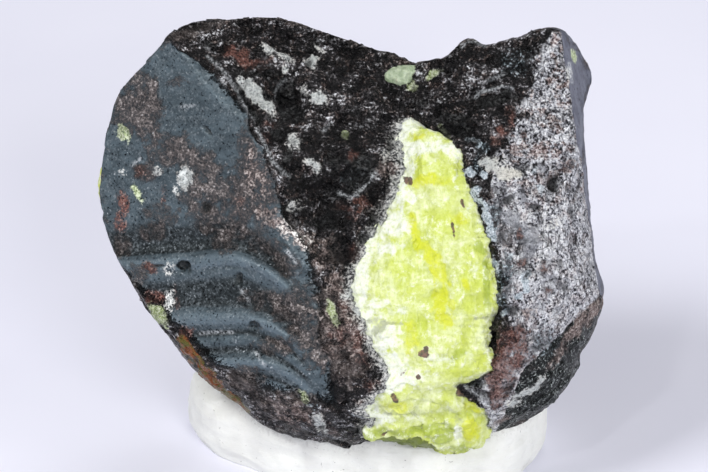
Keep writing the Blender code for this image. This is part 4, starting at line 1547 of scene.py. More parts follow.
    # Painted reflections: where the bright planes of the vein's right bank lie
    steps: tuple[Patch, ...] = patches(
        (13.2, 7.1, 0.4, 0.5, 0, 1.2), (14.0, 7.4, 0.4, 0.6, 0, 1.2), (15.4, 7.1, 0.6, 0.4, -30, 1.2),
        (14.5, 5.2, 0.6, 0.7, 0, 1.3), (14.7, 3.9, 0.5, 0.5, -45, 1.1), (15.7, 2.5, 1.5, 0.5, -72, 1.4),
        (16.4, 0.2, 1.2, 0.5, -75, 1.2), (16.8, -3.6, 1.1, 0.4, -80, 0.9), (20.3, -5.5, 1.1, 0.5, -80, 1.1),
        (19.6, -7.2, 0.6, 0.5, 0, 0.9), (17.8, -9.1, 0.6, 0.4, 30, 1), (20.8, -4.4, 0.5, 0.4, -60, 0.8),
        (18.5, -2.4, 0.7, 0.4, -80, 0.6), (22.1, 5.3, 0.9, 0.4, -80, 0.7), (21.3, 7.5, 0.6, 0.4, 60, 0.6),
        (14.2, 11.3, 1.2, 0.4, -12, 0.6),
    )
    # Near-black patches: painted shadow in the cavities, and black rock
    blacks_and_shadows: tuple[Patch, ...] = patches(
        (-7.8, 15.7, 1.2, 2.0, 10, 1.2), (-8.8, 12.0, 0.7, 1.1, 0, 1), (-7.7, 9.1, 0.6, 1.2, -20, 1),
        (-6.2, 14.4, 0.8, 0.7, 0, 0.6), (-11.3, 19.2, 2.6, 0.4, -2, 0.9), (-12.3, 15.5, 2.8, 0.4, -58, 1),
        (-2.4, 8.7, 1.2, 0.9, 0, 0.8), (0.8, 7.5, 2.1, 1.8, 50, 1.1), (-0.6, 5.3, 1.7, 0.6, 20, 0.8),
        (-3.0, 1.5, 1.4, 1.1, 0, 0.9), (1.5, -0.4, 0.6, 0.9, 20, 1), (2.7, 1.5, 0.5, 0.9, 0, 0.8),
        (12.5, 13.0, 1.4, 1.2, 0, 0.9), (16.6, 16.0, 2.1, 0.7, 20, 0.8), (10.7, 13.9, 1.4, 0.6, 0, 0.7),
        (23.7, 6.0, 0.6, 0.8, 10, 1), (18.4, 4.2, 0.9, 0.4, 25, 1.1), (16.6, 5.3, 1.2, 0.8, 0, 0.55),
        (17.8, -0.1, 1.1, 0.8, 0, 0.7), (18.7, -8.9, 1.1, 0.6, -10, 1.1), (16.2, -12.5, 0.5, 1.4, 0, 1),
        (14.2, -17.3, 1.4, 0.6, -10, 0.9), (15.5, -19.0, 0.9, 0.6, -40, 0.7), (21.5, 3.2, 0.7, 0.4, 0, 0.9),
        (-19.9, -3.7, 0.7, 0.5, 0, 1.1), (-17.3, 3.3, 0.5, 0.5, 0, 0.9), (-17.0, 12.3, 0.7, 0.2, -50, 0.9),
        (-23.1, -3.7, 0.8, 0.2, 8, 1), (-13.4, -5.1, 0.4, 0.8, 0, 0.9), (-11.5, -10.7, 0.6, 0.5, 0, 0.9),
        (-5.0, 20.6, 0.4, 0.4, 0, 1.2), (-10.1, 16.4, 0.7, 0.4, -60, 0.9), (-3.6, -22.8, 0.4, 0.2, 0, 1),
        (-0.6, -23.1, 1.4, 0.4, -10, 0.7), (-17.0, 22.5, 0.9, 0.5, -25, 0.8),
        (-1.2, -2.6, 0.7, 0.9, -40, 0.6), (8.1, 15.7, 1.4, 0.9, 0, 0.6), (-7.7, 18.0, 1.2, 0.5, 10, 0.6),
        (18.5, 16.5, 1.2, 0.7, -20, 0.6),
    )
    slabs: tuple[Patch, ...] = patches(
        (18.7, 1.8, 1.4, 0.9, -35, 1.1), (20.8, -0.6, 1.3, 1.5, 0, 1.2), (20.4, -2.3, 0.9, 0.7, 0, 0.9),
        (20.0, 4.6, 0.6, 1.2, 0, 0.7), (23.4, -5.7, 1.5, 1.2, 0, 0.7), (22.5, 7.5, 0.5, 1.4, 30, 0.6),
    )
    slate: tuple[Patch, ...] = patches(
        (16.8, 2.1, 0.8, 1.8, -8, 1.2), (14.8, 8.2, 0.6, 1.2, 0, 0.8), (15.4, 10.3, 1.2, 0.7, 0, 0.7),
        (17.8, -5.3, 1.2, 3.3, -8, 0.8), (22.5, -12.5, 1.7, 1.7, 0, 0.7), (19.2, 20.5, 1.9, 1.7, 0, 0.6),
        (0.0, 6.8, 1.7, 0.9, 20, 0.6), (14.2, -17.3, 1.4, 0.7, -10, 0.7), (-5.0, -20.2, 1.2, 0.7, -20, 0.7),
    )
    # Thin bright lines: painted highlights along broken edges, and a few pale scratches
    glint_and_scratch_lines: tuple[GlintAndScratchLine, ...] = (
        GlintAndScratchLine(((-17.1, 21.2), (-15.7, 20.0), (-14.5, 18.6), (-13.5, 16.8), (-12.7, 15.1), (-11.5, 13.5)), 0.7),
        GlintAndScratchLine(((-11.1, 12.5), (-10.4, 10.9), (-9.5, 8.9), (-8.3, 7.7), (-7.4, 6.9)), 0.8),
        GlintAndScratchLine(((-1.7, 5.0), (-0.1, 4.4), (0.9, 5.3), (1.9, 6.0), (2.8, 7.4)), 1),
        GlintAndScratchLine(((-9.1, 16.2), (-8.7, 17.7), (-7.9, 18.4)), 0.5),
        GlintAndScratchLine(((14.4, 16.4), (15.4, 17.0), (16.6, 17.2), (17.8, 17.6), (18.9, 17.2)), 0.9),
        GlintAndScratchLine(((13.0, 22.4), (13.8, 23.0), (14.7, 22.9), (15.7, 22.3)), 0.7),
        GlintAndScratchLine(((-7.7, -1.8), (-6.6, -3.2)), 1),
        GlintAndScratchLine(((15.4, 18.0), (16.8, 18.6), (17.9, 19.1)), 0.6),
        GlintAndScratchLine(((-3.4, 12.3), (-2.6, 13.2)), 0.7),
        GlintAndScratchLine(((13.3, -17.8), (14.2, -18.4), (15.2, -19.2), (16.2, -20.2)), 0.7),
        GlintAndScratchLine(((25.6, 20.3), (25.9, 18.1)), 0.8),
        GlintAndScratchLine(((0.0, -21.1), (1.4, -21.7)), 0.9),
        GlintAndScratchLine(((-18.0, -11.6), (-16.0, -11.4), (-14.2, -11.5)), 0.5),
        GlintAndScratchLine(((-5.9, -22.5), (-3.6, -23.8), (-1.2, -24.3)), 0.4),
        GlintAndScratchLine(((25.7, 13.6), (26.1, 10.1), (26.6, 6.5)), 0.4),
        GlintAndScratchLine(((-20.2, 15.2), (-18.7, 15.3)), 0.5),
        GlintAndScratchLine(((-26.1, 8.3), (-25.1, 9.1)), 0.6),
        GlintAndScratchLine(((19.2, -3.9), (19.7, -5.9)), 0.5),
        GlintAndScratchLine(((21.6, 7.9), (22.5, 6.5), (22.8, 5.3)), 0.6),
        GlintAndScratchLine(((-11.3, -13.9), (-10.4, -15.3)), 0.7),
        GlintAndScratchLine(((-13.0, -6.5), (-12.2, -7.7)), 0.8),
    )

    def __post_init__(self) -> None:
        """Marks where the mesh is to be finer."""
        self.details = DetailMap(self.glint_and_scratch_lines, self.steps + self.blacks_and_shadows + self.flecks)

    def longest(self, way: Vector, place: Vector) -> float:
        """The longest edge wanted on the rock.

        Args:
            way: direction from the rock's middle.
            place: the point there, in mm.

        Returns:
            The length, in mm.
        """
        if way.y > 0.05:
            return self.back_edge
        x, z = place.x, place.z
        if self.form.path.foot < z < self.form.path.top:
            left, right, _, _ = self.form.banks(z)
            if left + 1.0 < x < right - 1.0:
                return self.back_edge
        if self.details.holds(x, z):
            return self.detail_edge
        if x > self.smooth_side or x < leftmost(self.smooth_edges, z):
            return self.smooth_edge
        return self.front_edge

    def zones(self, x: float, z: float) -> Shades:
        """Which part of the front a point lies on.

        Args:
            x: place across the stone, in mm.
            z: place up the stone, in mm.

        Returns:
            Shares of the slick face, the silvery grain, the smooth side and the skirt below it.
        """
        form = self.form
        left_face, left_front, right_block, skirt = form.fronts(x, z)
        wander = self.wander * noise.noise(Vector((x * 0.5, 3.0, z * 0.5)))
        beyond = self.slick_spill[0] * smooth_step(6.0, -3.0, z)
        beyond += self.slick_spill[1] * smooth_step(11.0, 16.0, z) * smooth_step(22.5, 19.0, z)
        slick = smooth_step(-0.2 - 1.3 * beyond, 0.3 - 0.7 * beyond, left_front - left_face)
        slick *= smooth_step(23.4, 22.2, z + 0.5 * wander)
        foot = along_line(self.slick_foot, x) + 0.7 * wander
        slick *= smooth_step(1.5, -3.5, x + wander) * smooth_step(foot - 1.2, foot + 1.2, z)
        side = smooth_step(0.0, 0.3, min(right_block, skirt) - face_height(form.right_side, x, z))
        below = smooth_step(-0.2, 0.5, right_block - skirt) * (1 - side)
        edge = along_line(self.grain_edge, z) + wander
        grain = smooth_step(edge - self.grain_fade, edge + self.grain_fade, x) * (1 - side) * (1 - below)
        return slick, grain, side, below

    def relief(self, vert: bmesh.types.BMVert, zones: Shades, rim: float) -> float:
        """Fine relief of the stone's skin.

        Args:
            vert: the point.
            zones: shares of the front's parts there.
            rim: how close it lies to the stone's silhouette.

        Returns:
            How far the point moves out, in mm.
        """
        slick, grain, side, below = zones
        point = vert.co
        smooth = min(slick + side, 1.0) * (1 - 0.6 * rim)
        warped = point + 0.8 * noise.noise_vector(point / 1.7)
        knobs = facets(warped, 3.4, 0.15) + facets(warped, 1.5, 0.20)
        knobs += crests(point, 2.6, 0.22, 0.88) + crests(point + Vector((2, 9, 4)), 0.9, 0.10, 0.8)
        lean = Vector((warped.x + 0.4 * warped.z, warped.y, 0.7 * warped.z - 0.25 * warped.x))
        crystals = facets(lean, 2.2, 0.12) + facets(lean, 1.1, 0.20)
        crystals += crests(lean, 1.4, 0.14, 0.85) + crests(lean + Vector((3, 1, 6)), 0.7, 0.08, 0.8)
        broken = knobs * (1 - grain) + crystals * grain
        polish = 0.05 * noise.noise(point / 1.9) + 0.02 * noise.noise(point / 0.7)
        return broken * (1 - smooth) * (1 - 0.3 * below) * (1 - 0.45 * rim) + polish * smooth

    def dressed(self, x: float, z: float) -> dict[Paint, Shades]:
        """The shares of every listed patch and line over a point of the front.

        Args:
            x: place across the stone, in mm.
            z: place up the stone, in mm.

        Returns:
            The shares by layer; the last of the marks is left at 0.
        """
        stains = [covered(places, x, z) for places in (self.gravel, self.crust, self.bloom, self.rust)]
        glint_and_scratch = max(line.cover(x, z) for line in self.glint_and_scratch_lines) if self.details.holds(x, z) else 0.0
        ground = (covered(self.blacks_and_shadows, x, z), covered(self.slabs, x, z), covered(self.brick, x, z), glint_and_scratch)
        marks = (covered(self.flecks, x, z), covered(self.steps, x, z), 0.0, 0.0)
        if self.form.path.foot + 2.0 < z < self.form.path.top:
            left, right, _, _ = self.form.banks(z)
            most, reach = self.dusted
            dusted = most * smooth_step(reach, 0.0, left - x) * (x < (left + right) / 2)
            stains[1] = max(stains[1], dusted)
        return {
            Paint.STAINS: tuple(stains), Paint.GROUND: ground, Paint.MARKS: marks,
            Paint.SMEARS: (covered(self.slate, x, z), 0.0, 0.0, 0.0),
        }

    def hidden(self, point: Vector, speckle: float) -> dict[Paint, Shades]:
        """The shares at the back of the stone, where noise alone decides.

        Args:
            point: the place, in mm.
            speckle: the finest of the noises there.

        Returns:
            The shares by layer.
        """
        mottle = noise.noise(point * 0.28 + Vector((3.0, 8.0, 1.0)))
        broad = noise.noise(point * 0.09 + Vector((5.0, 2.0, 7.0)))
        grain = 0.8 * smooth_step(0.0, 0.35, broad + 0.25 * mottle)
        gravel = 0.8 * smooth_step(0.0, 0.35, -broad + 0.4 * speckle)
        white = 0.85 * smooth_step(0.40, 0.6, mottle + 0.3 * broad + 0.3 * speckle)
        pink = 0.7 * smooth_step(0.3, 0.5, -mottle)
        black_and_shadow = 0.6 * smooth_step(0.3, 0.5, -mottle - broad)
        brick = 0.8 * smooth_step(0.3, 0.6, speckle - broad)
        slate = 0.7 * smooth_step(0.2, 0.5, -mottle + 0.3 * speckle)
        return {
            Paint.ZONES: (0.0, grain, 0.0, 0.0), Paint.STAINS: (gravel, white, pink, 0.0),
            Paint.GROUND: (black_and_shadow, 0.0, brick, 0.0), Paint.SMEARS: (slate, 0.0, 0.0, 0.0),
        }

    def build(self) -> bpy.types.Object:
        """Builds and dresses the rock.

        Returns:
            The piece.
        """
        used = (Paint.ZONES, Paint.STAINS, Paint.MARKS, Paint.GROUND, Paint.SMEARS)
        bm = refined_ball(self.form.point, 6, self.longest, used)
        way = bm.verts.layers.float_vector[WAY]
        layers = dict(zip(used, paint_layers(bm, *used)))
        moves = []
        for vert in bm.verts:
            x, z = vert.co.x, vert.co.z
            front = smooth_step(0.25, 0.0, vert[way].y)
            rim = smooth_step(0.34, 0.04, abs(vert[way].y))
            speckle = noise.noise(vert.co * 0.6 + Vector((1.0, 2.0, 9.0)))
            shown = self.dressed(x, z)
            shown[Paint.ZONES] = self.zones(x, z)
            for paint, far in self.hidden(vert.co, speckle).items():
                vert[layers[paint]] = [a * front + b * (1 - front) for a, b in zip(shown[paint], far)]
            gravel = 0.6 * rim * smooth_step(-0.2, 0.3, speckle)
            vert[layers[Paint.STAINS]][0] = max(vert[layers[Paint.STAINS]][0], gravel)
            # The third mark is painted light: shade in rib grooves, highlight on rib crests, and the grain
            # lighter low down and darker high up
            level, fade = self.form.rib_level(x, z)
            groove = -self.form.rib_relief(x, z) if level < self.grooves_end else 0.0
            move = self.relief(vert, vert[layers[Paint.ZONES]], rim)
            # The hollow share is kept to paint shade into hollows and pits
            hollow = clamped(0.5 + move / 0.8 - 0.2 * bumps(self.form.pits, x, z) * front)
            black_and_shadow, _, _, glint_and_scratch = shown[Paint.GROUND]
            move += front * (self.crusted * (shown[Paint.STAINS][1] + 0.5 * glint_and_scratch) - self.sunk * black_and_shadow)
            # The second mark is painted reflection on the bank's bright planes
            flecks, steps, _, _ = shown[Paint.MARKS]
            lit = 0.3 * smooth_step(9.0, -1.0, z) - 0.15 * smooth_step(8.0, 16.0, z)
            painted_light = clamped(0.5 + groove * fade - lit * shown[Paint.ZONES][1])
            vert[layers[Paint.MARKS]] = (flecks * front, steps * front, painted_light * front, hollow)
            moves.append(move)
        roughened(bm, moves)
        self.shape = BVHTree.FromBMesh(bm)
        return finished("hematite_rock", bm, self.finish.material(), Slot.HEMATITE, "hematite")


@dataclass
class FrontVein:
    """The mass of lizardite that fills the valley down the stone's front."""

    form: StoneForm
    finish: bpy.types.Material
    overlap: float = 0.35
    front_edge: float = 0.24
    back_edge: float = 0.9
    swell: float = 1.1
    shelf: float = 0.8
    shelf_level: float = -20.6
    crevice_depth: float = 0.25
    under_depth: float = 0.2
    lobes: Bumps = (
        (8.9, 8.2, 2.4, 0.8), (5.0, 0.2, 1.8, 0.7), (3.0, -5.0, 2.2, 0.8), (13.4, -3.2, 2.6, 0.8),
        (4.2, -12.4, 1.9, 0.8), (10.8, -13.8, 2.3, 0.7), (7.7, -1.2, 1.3, -0.9), (10.2, -6.8, 1.5, -0.9),
        (7.6, -10.2, 1.4, -0.5), (13.4, -22.8, 1.9, 1.9), (5.2, -22.6, 1.8, 0.9), (9.6, -23.6, 1.6, 0.9),
    )
    streaks: tuple[Patch, ...] = patches(
        (9.3, -2.5, 1.9, 0.8, -60, 1.1), (10.2, -4.2, 2.0, 0.8, -65, 1.2), (10.3, -7.7, 1.9, 0.9, 80, 0.9),
        (10.8, -9.8, 1.3, 0.9, -30, 1), (7.6, -0.6, 1.4, 0.5, -84, 1.2), (7.1, 1.5, 1.2, 0.5, -75, 0.8),
        (8.2, 6.3, 1.4, 0.8, 15, 0.8), (10.2, 6.5, 1.7, 0.6, 0, 0.6), (12.5, 1.8, 1.1, 0.8, -10, 0.7),
        (13.3, -5.7, 0.9, 0.4, -60, 0.9), (11.7, -8.1, 0.8, 0.4, -85, 0.8), (6.9, -11.9, 2.1, 0.9, -85, 0.7),
        (14.0, -23.0, 1.1, 1.2, 0, 1.1), (14.2, -20.2, 1.3, 0.7, 0, 0.6), (5.3, -20.2, 1.7, 0.6, 0, 0.6),
        (7.6, 11.7, 0.8, 0.5, 0, 0.7),
    )
    moss: tuple[Patch, ...] = patches(
        (14.9, -1.3, 0.8, 0.6, -50, 1), (15.7, -4.2, 2.4, 0.4, -85, 0.7), (15.8, -6.8, 1.7, 0.5, -85, 0.7),
        (12.5, -14.0, 1.1, 0.6, 30, 0.7), (9.5, -22.9, 2.1, 0.8, 0, 0.7), (10.4, -24.1, 1.1, 0.9, 0, 0.9),
        (11.5, -23.2, 0.8, 1.1, 0, 0.7), (8.1, -23.1, 1.1, 0.6, 0, 0.8), (2.4, -23.6, 1.8, 0.7, 20, 0.7),
        (13.0, -25.3, 1.7, 0.5, 0, 0.7), (5.3, -23.5, 1.9, 0.5, -5, 0.7),
    )
    frost: tuple[Patch, ...] = patches(
        (5.5, 1.2, 1.4, 1.5, 0, 1), (4.5, -1.5, 1.4, 0.8, 0, 1), (7.0, 4.4, 0.5, 0.7, 0, 1.3),
        (4.0, -11.9, 1.7, 1.7, 0, 1.3), (5.0, -15.4, 1.7, 1.2, 0, 1.1), (5.3, -17.4, 1.4, 1.2, 0, 1),
        (3.3, -7.9, 1.4, 0.6, 0, 0.8), (1.4, -5.3, 0.6, 2.4, 0, 0.9), (3.6, -9.1, 1.7, 0.7, 0, 0.6),
        (7.7, 10.3, 1.9, 0.9, 0, 0.8), (10.0, 10.6, 1.9, 0.7, 0, 0.8), (5.9, 10.3, 0.6, 2.1, 0, 0.9),
        (5.6, 5.3, 0.6, 1.9, 10, 0.9), (11.9, 9.8, 1.2, 0.7, -20, 0.7), (7.4, -16.6, 1.9, 0.8, 0, 0.8),
        (8.9, -13.9, 0.9, 0.9, 0, 0.6), (5.9, -8.9, 0.6, 0.5, 0, 0.9), (1.8, -21.0, 1.7, 0.7, 10, 1),
        (3.8, -21.7, 1.4, 0.5, 0, 0.8), (12.6, -23.4, 0.5, 1.3, 0, 1.2), (10.7, -15.1, 1.4, 0.7, 0, 0.6),
    )
    specks: tuple[Patch, ...] = patches(
        (8.4, -13.9, 0.6, 0.4, -12, 1.3), (8.7, -13.4, 0.3, 0.4, 0, 1.1), (5.1, -19.1, 0.5, 0.4, -40, 1.3),
        (12.9, -18.5, 0.6, 0.7, 20, 1.1), (6.6, 6.4, 0.7, 0.4, -35, 1.1), (11.9, 0.6, 1.2, 0.2, -82, 1),
        (13.0, 3.8, 0.6, 0.2, -75, 0.9), (6.2, -16.1, 0.7, 0.2, 35, 0.6), (7.8, -16.7, 0.3, 0.3, 0, 1),
        (3.6, -23.7, 0.9, 0.2, 30, 0.7),
    )
    # Painted shade in the vein's crevices
    crevice_shades: tuple[Patch, ...] = patches(
        (3.1, -10.9, 1.1, 0.5, 40, 0.9), (4.5, -10.3, 1.2, 0.2, 0, 0.8), (2.5, -10.1, 0.6, 0.5, 0, 0.6),
        (12.5, -21.8, 0.6, 0.5, 0, 0.8), (5.9, -21.1, 2.4, 0.2, -2, 0.6), (15.2, -9.8, 1.1, 0.2, 5, 0.8),
    )
    # Painted shade on the vein's underside
    underside_shade: tuple[Patch, ...] = patches(
        (5.9, -24.7, 2.6, 0.6, -4, 1.2), (8.1, -24.9, 1.5, 0.6, -30, 1.1), (3.6, -24.4, 1.7, 0.4, 5, 0.8),
        (9.5, -25.4, 1.2, 0.4, -20, 0.6),
    )

    def point(self, direction: Vector) -> Vector:
        """The point of the vein's skin that a direction from its middle meets.

        Args:
            direction: the direction, one long.

        Returns:
            The point, in mm.
        """
        path = self.form.path
        z = (path.top + path.foot) / 2 + direction.z * (path.top - path.foot) / 2
        ring = math.sqrt(max(1 - direction.z**2, 1e-9))
        across, inward = direction.x / ring, direction.y / ring
        left, right, _, _ = self.form.banks(z)
        x = (left + right) / 2 + across * ((right - left) / 2 + self.overlap) * smooth_step(0.0, 0.3, ring)
        edge = self.form.vein_bed(x, z)
        if inward > 0:
            depth = (3.4 + 2.6 * ring) * min(1.0, ring * 1.8)
            return Vector((x, -(edge - depth * inward**0.7), z))
        swell = self.swell * math.sqrt(max(1 - across**2, 0.0))
        swell += bumps(self.lobes, x, z)
        swell += 0.5 * noise.noise(Vector((x, 0.0, z)) * 0.55)
        ragged = 0.8 * noise.noise(Vector((x * 0.4, 2.0, 0.0)))
        below = 1 / (1 + math.exp((z - self.shelf_level + ragged) / 0.25))
        swell -= self.shelf * below * bump(0.0, z, 0.0, -21.0, 1.6)
        return Vector((x, -(edge + swell * abs(inward) ** 0.5), z))

    def relief(self, point: Vector) -> float:
        """Fine relief of the vein's skin.

        Args:
            point: the point, in mm.

        Returns:
            How far it moves out, in mm.
        """
        along = Vector((point.x * 1.5 + point.z * 0.35, point.y, point.z * 0.5))
        foot = smooth_step(-16.0, -20.0, point.z)
        flow = crests(along, 2.1, 0.36, 0.85) * (1 - 0.6 * foot)
        lumps = (0.16 + 0.6 * foot) * (0.8 - ridged(point, 2.3))
        planes = facets(point + 0.5 * noise.noise_vector(point / 1.3), 1.6, 0.08 + 0.08 * foot)
        crumbs = crests(point, 1.0, 0.09, 0.85) + crests(point + Vector((4, 4, 1)), 0.52, 0.04, 0.8)
        return flow + lumps + planes + crumbs

    def build(self) -> bpy.types.Object:
        """Builds and dresses the vein.

        Returns:
            The piece.
        """
        bm = refined_ball(self.point, 6, self.longest, (Paint.VEIN, Paint.SMEARS))
        layer, smears = paint_layers(bm, Paint.VEIN, Paint.SMEARS)
        moves = []
        for vert in bm.verts:
            x, z = vert.co.x, vert.co.z
            left, right, _, _ = self.form.banks(z)
            rim = smooth_step(2.6, -0.2, x - left) * 0.95 + smooth_step(1.2, -0.1, right - x) * 0.45
            rim += smooth_step(10.5, 13.5, z) * 0.35
            under = covered(self.underside_shade, x, z)
            crevice_shade = covered(self.crevice_shades, x, z)
            white = min(0.9 * covered(self.frost, x, z) + rim * (1 - 0.8 * smooth_step(-22.0, -24.0, z)), 1.0)
            move = self.relief(vert.co)
            vert[layer] = (covered(self.streaks, x, z), white, covered(self.specks, x, z), under)
            # The second smear is the relief's hollowness, used for painted shade
            vert[smears] = (0.0, clamped(0.5 + move / 0.9), covered(self.moss, x, z), crevice_shade)
            moves.append(move - self.crevice_depth * crevice_shade - self.under_depth * under)
        roughened(bm, moves)
        return finished("lizardite_front_vein", bm, self.finish, Slot.LIZARDITE, "lizardite_vein")

    def longest(self, way: Vector, place: Vector) -> float:
        """The longest edge wanted on the vein, in mm, in a direction from its middle."""
        return self.front_edge if way.y < 0.1 else self.back_edge


@dataclass
class Nugget:
    """The small pale patch of lizardite in the saddle between the two crests."""

    form: StoneForm
    finish: bpy.types.Material
    x: float = 6.4
    z: float = 18.8
    buried: float = 1.5
    radii: tuple[float, float, float] = (2.5, 2.1, 1.6)
    seed: float = 4.0
    edge: float = 0.22

    def build(self) -> bpy.types.Object:
        """Builds and dresses the nugget.

        Returns:
            The piece.
        """
        middle = Vector((self.x, self.buried - self.form.front_height(self.x, self.z), self.z))

        def skin(direction: Vector) -> Vector:
            """The point of the nugget's skin that a direction from its middle meets.

            Args:
                direction: the direction, one long.

            Returns:
                The point, in mm.
            """
            lumpy = 1 + 0.22 * noise.noise(direction * 1.3 + Vector((self.seed, 0.0, 0.0)))
            return middle + direction * Vector(self.radii) * lumpy

        bm = refined_ball(skin, 4, lambda way, place: self.edge, (Paint.VEIN, Paint.SMEARS))
        layer, smears = paint_layers(bm, Paint.VEIN, Paint.SMEARS)
        for vert in bm.verts:
            vert[layer] = (0.0, 0.2 + 0.3 * noise.noise(vert.co), 0.1, 0.0)
            vert[smears] = (0.95, 0.5, 0.0, 0.0)
        roughened(bm, [0.16 * noise.noise(v.co / 0.9) + 0.05 * noise.noise(v.co / 0.4) for v in bm.verts])
        return finished("lizardite_crest_nugget", bm, self.finish, Slot.LIZARDITE, "lizardite_crest")


@dataclass
class ShoulderBand:
    """The mass of lizardite that comes out behind the stone's left edge."""

    form: StoneForm
    finish: bpy.types.Material
    stations: tuple[tuple[float, float, float], ...] = (
        (-0.84, 0.40, -0.36), (-0.97, 0.07, 0.16), (-0.88, 0.14, 0.44),
    )
    centre: tuple[float, float, float] = (0.0, 3.0, -1.0)
    buried: float = 1.6
    thickness: float = 2.6
    half_width: float = 4.0
    seed: float = 11.0
    edge: float = 0.36

    def build(self) -> bpy.types.Object:
        """Builds and dresses the band.

        Returns:
            The piece.
        """
        centre = Vector(self.centre)
        outer = [self.form.point(Vector(station).normalized()) for station in self.stations]
        lower, middle, upper = (point - (point - centre).normalized() * self.buried for point in outer)
        along = (upper - lower).normalized()
        outward = (middle - centre).normalized()
        sideways = along.cross(outward).normalized()
        through = 2 * middle - (lower + upper) / 2

        def skin(direction: Vector) -> Vector:
            """The point of the band's skin that a direction from its middle meets.

            Args:
                direction: the direction, one long.

            Returns:
                The point, in mm.
            """
            share = (direction.z + 1) / 2
            spine = lower * (1 - share) ** 2 + through * 2 * share * (1 - share) + upper * share**2
            lumpy = 1 + 0.35 * noise.noise(direction * 1.6 + Vector((self.seed, 0.0, 0.0)))
            beside = outward * direction.x * self.thickness + sideways * direction.y * self.half_width
            return spine + beside * lumpy

        bm = refined_ball(skin, 5, lambda way, place: self.edge, (Paint.VEIN, Paint.SMEARS))
        layer, smears = paint_layers(bm, Paint.VEIN, Paint.SMEARS)
        moves = []
        for vert in bm.verts:
            mottle = noise.noise(vert.co * 0.5)
            move = crests(vert.co, 1.4, 0.30, 0.85) + crests(vert.co, 0.6, 0.12, 0.8)
            vert[layer] = (0.45 + 0.5 * mottle, smooth_step(-0.1, 0.4, -mottle) * 0.7, 0.1, 0.0)
            # The second smear is the relief's hollowness, used for painted shade
            vert[smears] = (0.0, clamped(0.5 + move / 0.6), 0.0, 0.0)
            moves.append(move)
        roughened(bm, moves)
        return finished("lizardite_shoulder_band", bm, self.finish, Slot.LIZARDITE, "lizardite_shoulder")


@dataclass
class PuttyPad:
    """The pad of putty that the stone is pressed into."""

    rock: HostRock
    finish: PuttyFinish
    outline: RadialOutline = field(default_factory=lambda: RadialOutline(
        (
            (-19.8, 8.4), (-19.4, 4.6), (-17.4, 0.2), (-13.4, -4.2), (-6.0, -8.8), (2.0, -11.4),
            (10.0, -12.2), (17.0, -10.2), (21.8, -5.0), (23.5, 1.4), (22.6, 8.2), (17.0, 13.6),
            (8.0, 16.6), (-3.0, 17.2), (-12.0, 15.6), (-17.6, 12.6),
        ),
        (2.0, 2.5),
    ))
    dents: tuple[tuple[float, float, float], ...] = (
        (-158, 9, 0.9), (-128, 7, 0.6), (-96, 12, 0.8), (-52, 8, 0.9), (-18, 10, 0.7), (38, 14, 1.0),
        (96, 10, 0.8),
    )
    roundness: float = 0.45
    height: float = 8.8
    edge: float = 0.42
    underside_edge: float = 1.2
    waist: float = 0.32
    uneven: tuple[float, float] = (0.16, 0.05)
    snapped: float = 0.02
    fold: float = 0.30
    grain: float = 0.10
    clearance: float = 0.03
    thinnest: float = 0.3
    free_above: float = 1.5
    squeezed: float = 0.45

    def skin(self, direction: Vector) -> Vector:
        """The point of the pad's skin that a direction from its middle meets, over the floor.

        Args:
            direction: the direction, one long.

        Returns:
            The point, in mm, with z up from the floor.
        """
        across = math.hypot(direction.x, direction.y)
        angle = math.atan2(direction.y, direction.x)
        reach = self.outline.reach(angle) * across**self.roundness
        for degrees, width, depth in self.dents:
            turned = (math.degrees(angle) - degrees + 180) % 360 - 180
            reach -= depth * math.exp(-((turned / width) ** 2)) * across
        x = self.outline.centre.x + reach * math.cos(angle)
        y = self.outline.centre.y + reach * math.sin(angle)
        rise = 1 + self.uneven[0] * noise.noise(Vector((x, y, 0.0)) * 0.13)
        rise += self.uneven[1] * noise.noise(Vector((x, y, 9.0)) * 0.4)
        level = self.waist * self.height
        if direction.z > 0:
            z = level + (self.height * rise - level) * direction.z**self.roundness
        else:
            z = level * (1 - min(1.0, abs(direction.z) * 2.4) ** 0.8)
        return Vector((x, y, z))

    def longest(self, way: Vector, place: Vector) -> float:
        """The longest edge wanted on the pad, in mm, in a direction from its middle."""
        return self.edge if way.z > -0.3 else self.underside_edge

    def build(self) -> bpy.types.Object:
        """Builds the pad, presses the rock into it and dresses it.

        Returns:
            The piece.
        """
        bm = refined_ball(self.skin, 6, self.longest, (Paint.SMEARS,))
        (layer,) = paint_layers(bm, Paint.SMEARS)
        to_upright = SEAT.leaned().inverted()
        down = to_upright.to_3x3() @ Vector((0.0, 0.0, -1.0))
        shift = Vector(SEAT.shift)
        for vert in bm.verts:
            vert.co += Vector((shift.x, shift.y, 0.0))
            if vert.co.z < self.snapped:
                vert.co.z = 0.0
        bm.normal_update()
        for vert in bm.verts:
            if vert.co.z <= 0.0:
                continue
            fold = crests(Vector((vert.co.x * 0.5, vert.co.y * 0.5, vert.co.z * 1.6)), 2.6, self.fold, 0.9)
            vert.co += vert.normal * (fold + self.grain * noise.noise(vert.co / 1.4))
            vert.co.z = max(vert.co.z, 0.0)
        for vert in bm.verts:
            upright = to_upright @ vert.co
            nearest, normal, _, distance = self.rock.shape.find_nearest(upright)
            inside = (upright - nearest).dot(normal) < 0
            touch = 1.0 if inside else smooth_step(1.6, 0.1, distance)
            if inside and vert.co.z > self.thinnest:
                hit, _, _, drop = self.rock.shape.ray_cast(upright, down)
                if hit is not None:
                    vert.co.z = max(vert.co.z - drop - self.clearance, self.thinnest)
            elif vert.co.z > self.free_above:
                vert.co.z += self.squeezed * touch * touch
            # The first smear greys the putty near the stone
            vert[layer] = (touch * 0.5, smooth_step(0.2, -0.5, noise.noise(vert.co * 0.3)), 0.0, 0.0)
        for vert in bm.verts:
            vert.co = to_upright @ vert.co
        bm.normal_update()
        return finished("putty_pad", bm, self.finish.material(), Slot.PUTTY, "putty")


